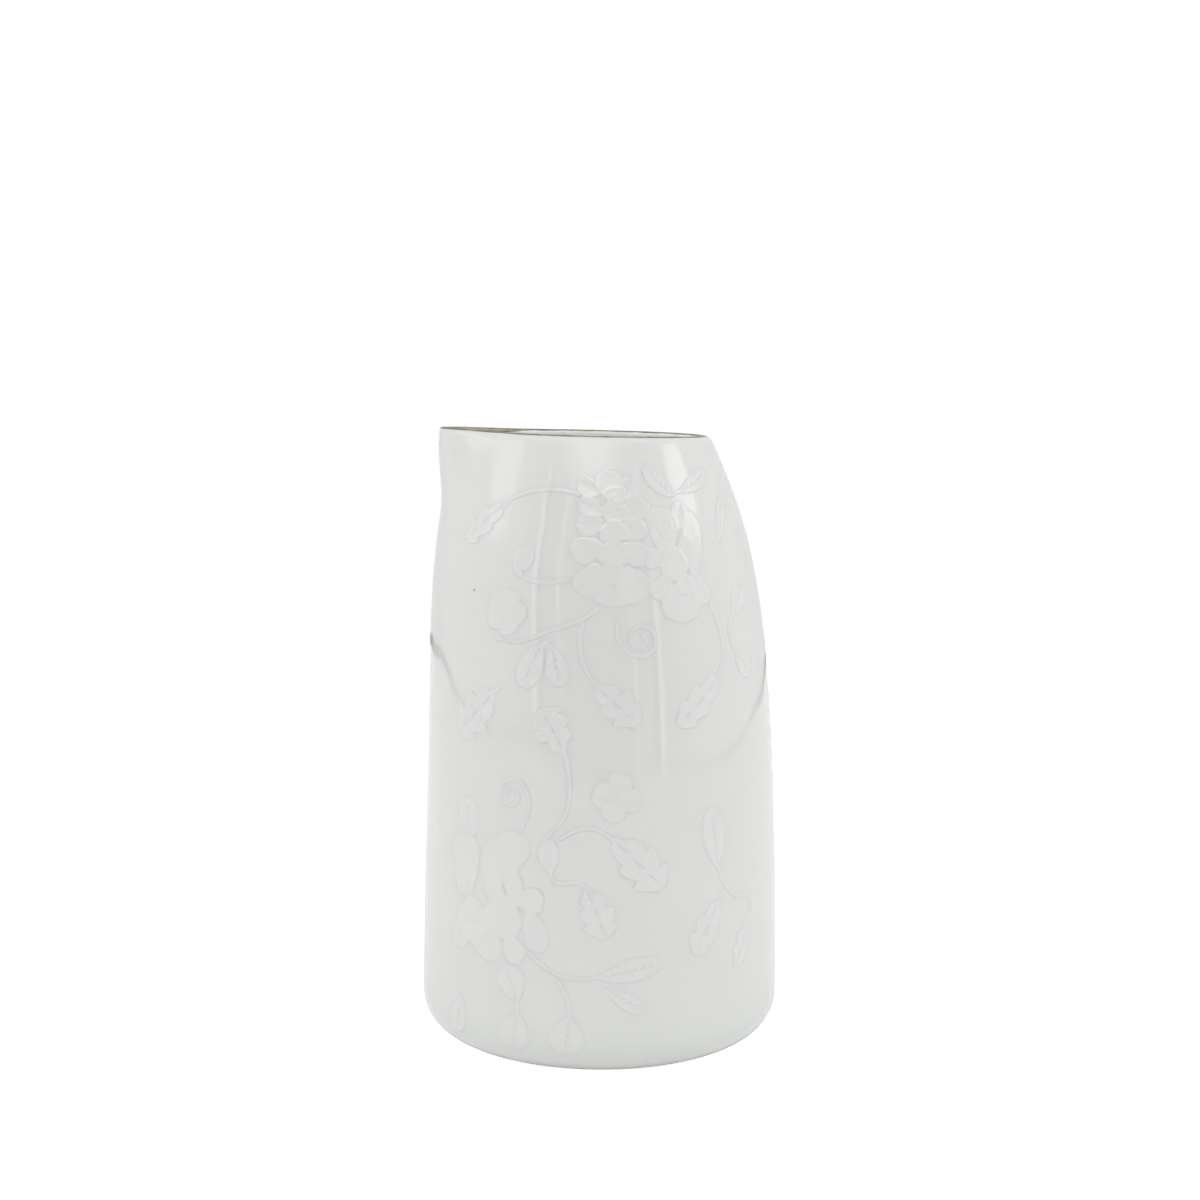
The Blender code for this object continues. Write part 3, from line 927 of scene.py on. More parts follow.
@dataclass(frozen=True)
class Leaf:
    """A leaf or bud at an end of a strip.

    Attributes:
        length: Length in millimetres.
        width: Width in millimetres.
        kind: How it is modelled.
    """

    length: float
    width: float
    kind: LeafKind = LeafKind.SMOOTH

    def half_width(self, distance: np.ndarray, side: float) -> np.ndarray:
        """Half its width on one side.

        Args:
            distance: Distances from its tip, in millimetres.
            side: 1 for the left side and -1 for the right side.

        Returns:
            Half widths in millimetres, 0 past its foot.
        """
        share = np.clip(distance / self.length, 0, 1)
        half = self.width / 2 * np.sin(math.pi * share ** 0.75) ** 0.65
        if self.kind is LeafKind.SERRATED:
            teeth = (distance / 1.3 + 0.25 * side) % 1.0
            half = half * (1.0 - 0.22 * (1 - teeth) ** 1.3)
        if self.kind is LeafKind.LOBED:
            lobes = (share * 3.4 + 0.16 * side) % 1.0
            teeth = (share * 10.2 + 0.1 * side) % 1.0
            half = half * (1.06 - 0.42 * (1 - lobes) ** 1.6 - 0.07 * (1 - teeth))
        return np.where(distance <= self.length, half, 0.0)

    def relief(self, distance: np.ndarray, across: np.ndarray) -> np.ndarray:
        """Height of its surface in millimetres, across running from -1 to 1 between its edges.

        Args:
            distance: Distances from its tip, in millimetres.
            across: Places between its edges, from -1 to 1.

        Returns:
            Heights in millimetres.
        """
        share = np.clip(distance / self.length, 0, 1)
        inner = 1 - np.abs(across)
        edge = JUG.smooth_step(inner, 0.0, 0.26)
        if self.kind is LeafKind.BUD:
            folds = 0.06 * np.cos(across * 8.0 + share * 3.0)
            return edge * (0.22 + 0.10 * inner + folds)
        rim = 0.11 * np.exp(-((inner - 0.27) / 0.14) ** 2)
        groove = -0.16 * np.exp(-(across / 0.09) ** 2) * JUG.smooth_step(share, 0.06, 0.25)
        pitch = self.length / 3.4 if self.kind is LeafKind.LOBED else 1.3
        phase = distance / pitch + np.abs(across) * 0.8 + 0.2 * np.sign(across)
        veins = -0.07 * np.exp(-(((phase % 1.0) - 0.5) / 0.14) ** 2) * JUG.smooth_step(inner, 0.2, 0.5)
        swell = 0.05 * np.sin(phase * math.tau) * JUG.smooth_step(inner, 0.15, 0.5)
        return edge * (0.20 + rim + groove + veins + swell + 0.04 * inner)


@dataclass(frozen=True)
class Strip:
    """A stem that may open into a leaf at either end.

    Attributes:
        name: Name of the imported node, less the face.
        path: Places that it runs through, as (turn, hundredths of the height).
        first: Leaf at its start.
        last: Leaf at its end.
        start_width: Width of the stem at its start, in millimetres.
        end_width: Width of the stem at its end, in millimetres.
    """

    name: str
    path: tuple
    first: Leaf | None = None
    last: Leaf | None = None
    start_width: float = 0.95
    end_width: float = 0.75


@dataclass(frozen=True)
class Tendril:
    """A thin stem that winds up into a coil round an eye.

    Attributes:
        name: Name of the motif.
        path: Places that it passes before the coil.
        eye: Place of the coil's middle.
        coils: Number of turns of the coil.
        start_width: Width at its start, in millimetres.
        end_width: Width at its end, in millimetres.
    """

    name: str
    path: tuple
    eye: tuple
    coils: float
    start_width: float = 0.85
    end_width: float = 0.7


@dataclass(frozen=True)
class Petal:
    """One petal of a bloom, placed in millimetres from the bloom's middle.

    Attributes:
        across: Place across the drawing plane.
        up: Place up the drawing plane.
        length: Length along its own axis.
        width: Width across its axis.
        lean: Turn of its axis from straight up, in degrees.
        rise: Height that it stands on.
        coil: Number of turns of a coiled petal's spiral ridge, or 0.
    """

    across: float
    up: float
    length: float
    width: float
    lean: float
    rise: float
    coil: float = 0.0

    def lay(self, across: np.ndarray, up: np.ndarray, heights: np.ndarray) -> np.ndarray:
        """Lay the petal over what is already drawn.

        Args:
            across: Grid of places across, in millimetres.
            up: Grid of places up, in millimetres.
            heights: Heights drawn so far, in millimetres.

        Returns:
            The heights with this petal on top.
        """
        lean = math.radians(self.lean)
        east, north = across - self.across, up - self.up
        along = (east * math.sin(lean) + north * math.cos(lean)) / (self.length / 2)
        beside = (east * math.cos(lean) - north * math.sin(lean)) / (self.width / 2)
        fuller = 1 + 0.28 * np.clip(along, -1, 1)
        spread = np.sqrt(along ** 2 + (beside / fuller) ** 2)
        angle = np.arctan2(beside, along)
        spread = spread * (1 + 0.035 * np.cos(angle * 3 + self.lean) + 0.02 * np.cos(angle * 7 + self.rise * 40))
        size = min(self.length, self.width) / 2
        soft = 0.16 / size
        mask = 1 - JUG.smooth_step(spread, 1 - soft, 1 + soft)
        if self.coil:
            ridge = 0.5 + 0.5 * np.cos(angle + math.tau * self.coil * spread)
            own = self.rise + 0.13 * ridge * (1 - 0.4 * spread) + 0.03
        else:
            curled = 0.13 * JUG.smooth_step(spread, 0.3, 0.88)
            crease = -0.07 * np.exp(-(beside / 0.16) ** 2) * JUG.smooth_step(along, -0.9, 0.1) * (along < 0.9)
            ribs = 0.012 * np.cos(beside * 16) * (1 - spread)
            own = self.rise + curled + crease + ribs
        return heights * (1 - mask) + own * mask


@dataclass(frozen=True)
class Bloom:
    """A flower head drawn petal by petal, the lowest petals first.

    Attributes:
        name: Name of the motif.
        centre: Place of its middle.
        petals: Its petals.
    """

    name: str
    centre: tuple
    petals: tuple


def rosette(petals: int, reach: float, length: float, width: float, start: float = 0.0) -> tuple:
    """Open petals in a ring round a small button, for the little flowers.

    Args:
        petals: How many petals.
        reach: Distance of their middles from the centre, in millimetres.
        length: Length of a petal, in millimetres.
        width: Width of a petal, in millimetres.
        start: Turn of the first petal, in degrees.

    Returns:
        The petals.
    """
    ring = []
    for place in range(petals):
        lean = start + 360.0 * place / petals
        turn = math.radians(lean)
        ring.append(Petal(reach * math.sin(turn), reach * math.cos(turn), length, width, lean,
                          0.12 + 0.03 * (place % 2)))
    ring.append(Petal(0.0, 0.0, 2.2, 2.2, 0.0, 0.22, coil=1.2))
    return tuple(ring)


BLOOMS = (
    Bloom("bloom_crown", (3.5, 84.5), (
        Petal(0.2, -9.3, 5.2, 6.4, 180, 0.06), Petal(-4.2, 8.7, 5.0, 3.4, -62, 0.07),
        Petal(3.4, 8.4, 4.6, 3.4, 30, 0.08), Petal(-0.4, 9.3, 5.2, 5.4, 0, 0.10),
        Petal(-3.6, -7.2, 6.0, 4.4, -158, 0.09), Petal(3.3, -8.0, 6.6, 5.6, 152, 0.11),
        Petal(4.3, 4.8, 5.6, 4.4, 38, 0.12), Petal(-3.7, 2.3, 5.0, 4.0, -86, 0.11),
        Petal(-3.7, 5.2, 5.0, 3.4, -62, 0.14), Petal(-4.2, -2.0, 5.2, 4.6, -112, 0.14),
        Petal(3.9, -2.6, 5.2, 4.2, 118, 0.14), Petal(3.8, 1.4, 5.0, 3.8, 84, 0.17),
        Petal(0.2, -5.6, 5.2, 3.6, 180, 0.17), Petal(0.2, -2.6, 4.4, 5.4, 180, 0.20),
        Petal(0.6, 4.2, 4.2, 4.6, 4, 0.19), Petal(0.4, 1.2, 4.0, 4.8, 176, 0.24),
        Petal(0.8, 7.1, 3.9, 3.9, 0, 0.22, coil=1.2))),
    Bloom("bloom_shoulder", (29, 80.5), (
        Petal(3.4, 3.2, 12.0, 4.4, 6, 0.08), Petal(1.1, 8.2, 5.4, 3.6, 22, 0.09),
        Petal(-0.3, -6.7, 7.0, 7.2, 180, 0.08), Petal(3.3, -4.6, 6.0, 4.2, 148, 0.12),
        Petal(-3.8, -4.0, 4.8, 3.8, -138, 0.13), Petal(-4.6, 1.0, 4.6, 3.4, -88, 0.10),
        Petal(-2.6, 5.8, 8.2, 6.0, -2, 0.13), Petal(1.5, 1.9, 6.2, 3.2, 12, 0.15),
        Petal(-1.2, 0.2, 6.2, 5.2, 178, 0.19), Petal(0.6, -3.6, 3.8, 3.4, 160, 0.22),
        Petal(-1.8, 6.3, 4.4, 4.4, 0, 0.20, coil=1.8))),
    Bloom("bloom_base", (-35, 27.5), (
        Petal(8.6, -4.6, 7.4, 4.4, 160, 0.07), Petal(7.6, 0.7, 5.2, 4.4, 80, 0.09),
        Petal(4.0, 8.7, 7.4, 6.4, 6, 0.09), Petal(-7.6, -7.4, 5.8, 4.6, -146, 0.06),
        Petal(-0.8, -8.0, 6.0, 6.4, 186, 0.08), Petal(4.6, -8.2, 5.2, 4.2, 160, 0.10),
        Petal(-6.4, 5.2, 11.0, 6.6, -6, 0.10), Petal(-4.5, -4.5, 7.8, 7.6, -160, 0.13),
        Petal(4.4, 2.8, 6.8, 3.6, -14, 0.14), Petal(0.0, 5.0, 11.0, 5.2, 2, 0.15),
        Petal(2.9, -2.6, 8.0, 6.0, 172, 0.18), Petal(-0.4, -3.4, 5.2, 4.0, 184, 0.22),
        Petal(0.6, 0.6, 4.4, 3.4, 20, 0.24), Petal(-7.2, 1.8, 4.2, 4.2, 0, 0.20, coil=1.7),
        Petal(-4.6, -2.8, 4.6, 4.6, 40, 0.22, coil=1.7))),
    Bloom("flower_side", (-33, 72.8), rosette(5, 2.1, 4.0, 3.7, 20)),
    Bloom("flower_waist", (5, 44.8), rosette(4, 2.2, 4.2, 4.0, 12)),
)

STRIPS = (
    Strip("spray_spout", ((-7.5, 91), (-21, 91.7), (-37, 90), (-56, 83)), last=Leaf(11.4, 6.0, LeafKind.LOBED)),
    Strip("spray_bud", ((-10, 78.2), (-21, 77.6), (-29, 79), (-26, 83)), last=Leaf(5.8, 4.4, LeafKind.BUD)),
    Strip("stem_side", ((-0.5, 74), (-7, 72), (-17, 70.3), (-27, 68.4), (-38, 68.6)), end_width=0.55),
    Strip("leaves_peak", ((18, 95.6), (31, 91.4), (55, 94.6)), first=Leaf(8.6, 3.8), last=Leaf(9.6, 3.6)),
    Strip("leaf_shoulder", ((50, 83), (60, 90.5)), last=Leaf(9.0, 3.4, LeafKind.SERRATED)),
    Strip("leaves_hanging", ((-26, 61.3), (-18, 68.6), (-12.5, 61.8)), first=Leaf(8.4, 5.4), last=Leaf(7.2, 4.8)),
    Strip("spray_middle", ((-5.6, 72), (-7, 68.5), (-3, 63), (12, 56)), last=Leaf(10.4, 7.2, LeafKind.LOBED)),
    Strip("spray_right", ((40, 74.4), (44.5, 69), (42.5, 63.5), (25, 55.4)), last=Leaf(12.4, 7.0, LeafKind.LOBED)),
    Strip("leaves_edge", ((61, 76), (50, 71), (50, 67), (60, 62)), first=Leaf(6.4, 5.2), last=Leaf(6.4, 5.0)),
    Strip("leaf_left", ((-33, 61.5), (-51.5, 53)), last=Leaf(12.0, 9.4, LeafKind.LOBED)),
    Strip("spray_waist", ((-19, 58.5), (-10.5, 50.5), (-10, 43), (-17, 37.8)), first=Leaf(8.8, 8.2, LeafKind.LOBED)),
    Strip("leaf_round", ((-44.5, 36), (-46.8, 43)), last=Leaf(8.0, 6.6)),
    Strip("spray_lobed", ((-13, 38), (-5, 40), (3, 38.6), (20, 30.2)), last=Leaf(13.2, 8.6, LeafKind.LOBED)),
    Strip("spray_centre", ((-16.5, 38.2), (-14, 31.6), (-5, 31), (2, 22.6)), first=Leaf(6.4, 4.6, LeafKind.BUD),
          last=Leaf(9.8, 7.6, LeafKind.LOBED)),
    Strip("spray_low", ((-24, 20.6), (-12.7, 16.8), (0, 16.6), (19, 18.6)), last=Leaf(11.4, 5.2, LeafKind.SERRATED)),
    Strip("leaf_low", ((0.5, 14.9), (14, 11)), last=Leaf(7.4, 4.0, LeafKind.SERRATED)),
    Strip("spray_foot", ((-12.7, 16.2), (-9, 11.5), (-10.5, 4)), last=Leaf(6.8, 7.2)),
    Strip("spray_foot_left", ((-30, 17.4), (-25.5, 11), (-27.5, 4)), first=Leaf(6.8, 6.4), last=Leaf(6.6, 6.8)),
    Strip("leaf_foot", ((-47, 11), (-51, 4.2)), last=Leaf(7.4, 5.0)),
    Strip("spray_side", ((36.5, 42.4), (40, 31.5), (46, 27.5), (55, 25.5), (47, 15.6)),
          first=Leaf(11.4, 6.6, LeafKind.SERRATED), last=Leaf(10.2, 5.4, LeafKind.LOBED)),
    Strip("leaf_side", ((41, 28.6), (30, 18.8)), last=Leaf(11.0, 7.0, LeafKind.LOBED)),
)

TENDRILS = (
    Tendril("tendril_upper", ((6.5, 73.6), (5, 70), (8, 67.2), (13, 66.4)), (12.8, 69.1), 1.5),
    Tendril("tendril_lower", ((-25, 38.6), (-22.2, 43.4), (-25, 46.6), (-29, 46.8)), (-28.6, 44.4), 1.3),
)


def curve_through(points: list, spacing: float) -> np.ndarray:
    """Spots along a smooth curve through flat points, about one spacing apart.

    Args:
        points: Points that the curve passes.
        spacing: Distance between its spots.

    Returns:
        Evenly spaced spots along the curve.
    """
    ends = [points[0] * 2 - points[1]] + list(points) + [points[-1] * 2 - points[-2]]
    spots = []
    for before, start, end, after in zip(ends, ends[1:], ends[2:], ends[3:]):
        count = max(round(float(np.linalg.norm(end - start)) / spacing), 1)
        t = np.arange(count)[:, None] / count
        spots.append(0.5 * (2 * start + (end - before) * t + (2 * before - 5 * start + 4 * end - after) * t ** 2
                            + (3 * start - before - 3 * end + after) * t ** 3))
    spots.append(np.asarray(points[-1])[None])
    return np.concatenate(spots)


@dataclass
class ReliefFace:
    """All the raised relief of one face of the jug.

    Attributes:
        face: Which face it is.
        leaf_step: Spacing of rows along a leaf, in millimetres.
        stem_step: Spacing of rows along a stem, in millimetres.
        leaf_columns: Points across a leaf or stem.
        bloom_step: Spacing of a bloom's grid, in millimetres.
        stem_rise: Height of a stem, in millimetres.
        petal_rise: Share of their drawn height that petals keep.
        leaf_rise: Share of their drawn height that leaves keep.
        sunk: How far the edges lie under the skin, in millimetres.
        pieces: The pieces made so far.
    """

    face: Face
    leaf_step: float = 0.16
    stem_step: float = 0.45
    leaf_columns: int = 25
    bloom_step: float = 0.17
    stem_rise: float = 0.11
    petal_rise: float = 0.40
    leaf_rise: float = 0.36
    sunk: float = 0.03
    pieces: list = field(default_factory=list)

    def place_of(self, place: tuple) -> tuple[float, float]:
        """Turn in degrees and height in metres of a drawn place on this face."""
        turn, height = place
        return self.face.turn(turn), height / 100 * JUG.height

    def finish_piece(self, piece: bpy.types.Object, name: str, finish: bpy.types.Material) -> None:
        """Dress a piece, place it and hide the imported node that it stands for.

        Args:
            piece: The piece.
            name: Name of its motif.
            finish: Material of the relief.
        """
        piece.data.materials.append(finish)
        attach(piece, "root")
        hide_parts(f"{self.face.value}_{name}")
        self.pieces.append(piece)

    def swept(self, name: str, chart: Chart, route: np.ndarray, halves: tuple, lift: np.ndarray) -> bpy.types.Object:
        """Sweep a cross-section along a route on the drawing plane.

        Args:
            name: Name of the piece.
            chart: Drawing plane.
            route: Spots along the middle line, in metres.
            halves: Half the width on the left and on the right at each spot, in metres.
            lift: Grid of heights in metres, a row for each spot.

        Returns:
            The piece.
        """
        ahead = np.gradient(route, axis=0)
        ahead /= np.linalg.norm(ahead, axis=1, keepdims=True)
        side = np.stack([-ahead[:, 1], ahead[:, 0]], axis=-1)
        shares = np.linspace(1, -1, lift.shape[1])
        offsets = np.where(shares[None] > 0, halves[0][:, None], halves[1][:, None]) * shares[None]
        across = route[:, :1] + side[:, :1] * offsets
        up = route[:, 1:] + side[:, 1:] * offsets
        return raised_piece(name, chart, across, up, lift, flip=True)

    def make_strip(self, strip: Strip, finish: bpy.types.Material) -> None:
        """Model a strip: a rounded stem that swells into a veined leaf or a folded bud.

        Args:
            strip: The strip to model.
            finish: Material of the relief.
        """
        places = [self.place_of(place) for place in strip.path]
        chart = Chart(*places[len(places) // 2])
        fine = curve_through([chart.flat(*place) for place in places], self.leaf_step * MM)
        run = np.concatenate([[0], np.cumsum(np.linalg.norm(np.diff(fine, axis=0), axis=1))]) / MM
        total = run[-1]
        near_leaf = np.zeros(len(fine), dtype=bool)
        if strip.first:
            near_leaf |= run <= strip.first.length + 0.4
        if strip.last:
            near_leaf |= total - run <= strip.last.length + 0.4
        thinned = np.arange(len(fine)) % round(self.stem_step / self.leaf_step) == 0
        keep = near_leaf | thinned
        keep[[0, -1]] = True
        route, run = fine[keep], run[keep]
        shares = np.linspace(1, -1, self.leaf_columns)
        stem = (strip.start_width + (strip.end_width - strip.start_width) * run / total) / 2
        stem = stem * (1 + 0.06 * np.sin(run * 1.7) + 0.04 * np.sin(run * 4.1 + 1))
        closing = np.minimum(run, total - run)
        stem = stem * np.sqrt(np.clip(closing / 0.5, 0.02, 1))
        halves, leafiness = [stem.copy(), stem.copy()], np.zeros_like(stem)
        lift = np.zeros((len(route), self.leaf_columns))
        for leaf, distance in ((strip.first, run), (strip.last, total - run)):
            if leaf is None:
                continue
            neck = np.where(distance < leaf.length * 0.5, 0.06, stem)
            widths = [leaf.half_width(distance, side) for side in (1.0, -1.0)]
            inside = widths[0] > 0
            halves = [np.where(inside, np.maximum(own, neck), half) for own, half in zip(widths, halves)]
            share = JUG.smooth_step((widths[0] + widths[1]) / 2 / np.maximum(stem, 0.3), 0.9, 2.2)[:, None]
            tip = (distance < leaf.length * 0.4)[:, None]
            share = np.where(tip & inside[:, None], 1.0, share) * inside[:, None]
            lift = lift + share * leaf.relief(distance[:, None], shares[None]) * self.leaf_rise
            leafiness = np.maximum(leafiness, share[:, 0])
        rounded = self.stem_rise * np.sqrt(np.clip(1 - shares ** 2, 0, 1)) ** 1.3
        lift = lift + (1 - leafiness)[:, None] * rounded[None]
        fade = JUG.smooth_step(closing, 0.0, 0.35)[:, None]
        lift = lift * fade - self.sunk
        piece = self.swept(f"{self.face.value}_{strip.name}_relief", chart, route,
                           (halves[0] * MM, halves[1] * MM), lift * MM)
        self.finish_piece(piece, strip.name, finish)

    def make_tendril(self, tendril: Tendril, finish: bpy.types.Material) -> None:
        """Model a tendril: a thin rounded stem that winds into its coil.

        Args:
            tendril: The tendril to model.
            finish: Material of the relief.
        """
        places = [self.place_of(place) for place in tendril.path]
        eye_place = self.place_of(tendril.eye)
        chart = Chart(*eye_place)
        route = curve_through([chart.flat(*place) for place in places], 0.3 * MM)
        middle = chart.flat(*eye_place)
        reach, came = route[-1] - middle, route[-1] - route[-2]
        turning = 1.0 if reach[0] * came[1] - reach[1] * came[0] > 0 else -1.0
        share = np.linspace(0, 1, round(tendril.coils * 48))[1:]
        angle = turning * math.tau * tendril.coils * share
        spoke = np.stack([reach[0] * np.cos(angle) - reach[1] * np.sin(angle),
                          reach[0] * np.sin(angle) + reach[1] * np.cos(angle)], axis=-1)
        route = np.concatenate([route, middle + spoke * (1 - 0.78 * share[:, None])])
        run = np.linspace(0, 1, len(route))
        half = (tendril.start_width + (tendril.end_width - tendril.start_width) * run) / 2
        steps = np.arange(len(route))
        closing = np.minimum(steps, steps[::-1]) / 3.0
        half = half * np.sqrt(np.clip(closing, 0.02, 1))
        shares = np.linspace(1, -1, 13)
        lift = self.stem_rise * np.sqrt(np.clip(1 - shares ** 2, 0, 1))[None] ** 1.3
        lift = lift * np.clip(closing, 0, 1)[:, None] - self.sunk
        piece = self.swept(f"{self.face.value}_{tendril.name}_relief", chart, route,
                           (half * MM, half * MM), lift * MM)
        self.finish_piece(piece, tendril.name, finish)

    def make_bloom(self, bloom: Bloom, finish: bpy.types.Material) -> None:
        """Model a bloom by laying its petals one over another on a fine grid.

        Args:
            bloom: The bloom to model.
            finish: Material of the relief.
        """
        chart = Chart(*self.place_of(bloom.centre))
        sizes = [max(petal.length, petal.width) / 2 + 0.5 for petal in bloom.petals]
        wide = max(abs(petal.across) + size * 0.95 for petal, size in zip(bloom.petals, sizes))
        tall = max(abs(petal.up) + size for petal, size in zip(bloom.petals, sizes))
        columns = round(2 * wide / self.bloom_step)
        rows = round(2 * tall / self.bloom_step)
        up, across = np.meshgrid(np.linspace(-tall, tall, rows), np.linspace(-wide, wide, columns), indexing="ij")
        heights = np.full_like(across, -0.06)
        for petal in bloom.petals:
            heights = petal.lay(across, up, heights)
        piece = raised_piece(f"{self.face.value}_{bloom.name}_relief", chart, across * MM * self.face.way, up * MM,
                             heights * MM * self.petal_rise, flip=self.face is Face.BACK, under=9)
        self.finish_piece(piece, bloom.name, finish)

    def build(self, finish: bpy.types.Material) -> list:
        """Model every motif of this face.

        Args:
            finish: Material of the relief.

        Returns:
            The pieces.
        """
        for bloom in BLOOMS:
            self.make_bloom(bloom, finish)
        for strip in STRIPS:
            self.make_strip(strip, finish)
        for tendril in TENDRILS:
            self.make_tendril(tendril, finish)
        return self.pieces


@dataclass(frozen=True)
class SeamShadowBand:
    """Dark band round the table top, a painted shadow of the fold where table and tent walls meet.

    Attributes:
        name: Name of the material.
    """

    name: str = "painted_seam_shadow"

    def build(self) -> bpy.types.Material:
        """Make the material.

        Returns:
            The material.
        """
        material = bpy.data.materials.new(self.name)
        material.use_nodes = True
        bench = Bench(material.node_tree)
        shader = material.node_tree.nodes["Principled BSDF"]
        place = bench.add("ShaderNodeTexCoord").outputs["Object"]
        # Dark grey colour of the painted shadow.
        shade = bench.math("MULTIPLY_ADD", bench.noise(place, 80.0), 0.04, 0.14)
        colour = bench.add("ShaderNodeCombineColor", {0: shade, 1: shade, 2: shade}).outputs[0]
        material.node_tree.links.new(colour, shader.inputs["Base Color"])
        shader.inputs["Roughness"].default_value = 0.9
        shader.inputs["Specular IOR Level"].default_value = 0.0
        return material


@dataclass(frozen=True)
class Glow:
    """A soft round lamp glowing through the tent.

    Attributes:
        turn: Turn from the front towards +X, in degrees.
        rise: Height angle, in degrees.
        size: Half its width, in degrees.
        strength: How much brighter than the tent it is.
    """

    turn: float
    rise: float
    size: float
    strength: float

    def shine(self, bench: Bench, turn: bpy.types.NodeSocket, rise: bpy.types.NodeSocket) -> bpy.types.NodeSocket:
        """Light that it adds at a direction.

        Args:
            bench: Bench to work on.
            turn: Turn of the direction, in degrees.
            rise: Height angle of the direction, in degrees.

        Returns:
            Its light in that direction.
        """
        beside = bench.math("MULTIPLY", bench.math("SUBTRACT", turn, self.turn), math.cos(math.radians(self.rise)))
        over = bench.math("SUBTRACT", rise, self.rise)
        off = bench.math("SQRT", bench.math("ADD", bench.math("POWER", beside, 2.0), bench.math("POWER", over, 2.0)))
        return bench.math("MULTIPLY", bench.step(off, self.size * 1.3, self.size * 0.7), self.strength)


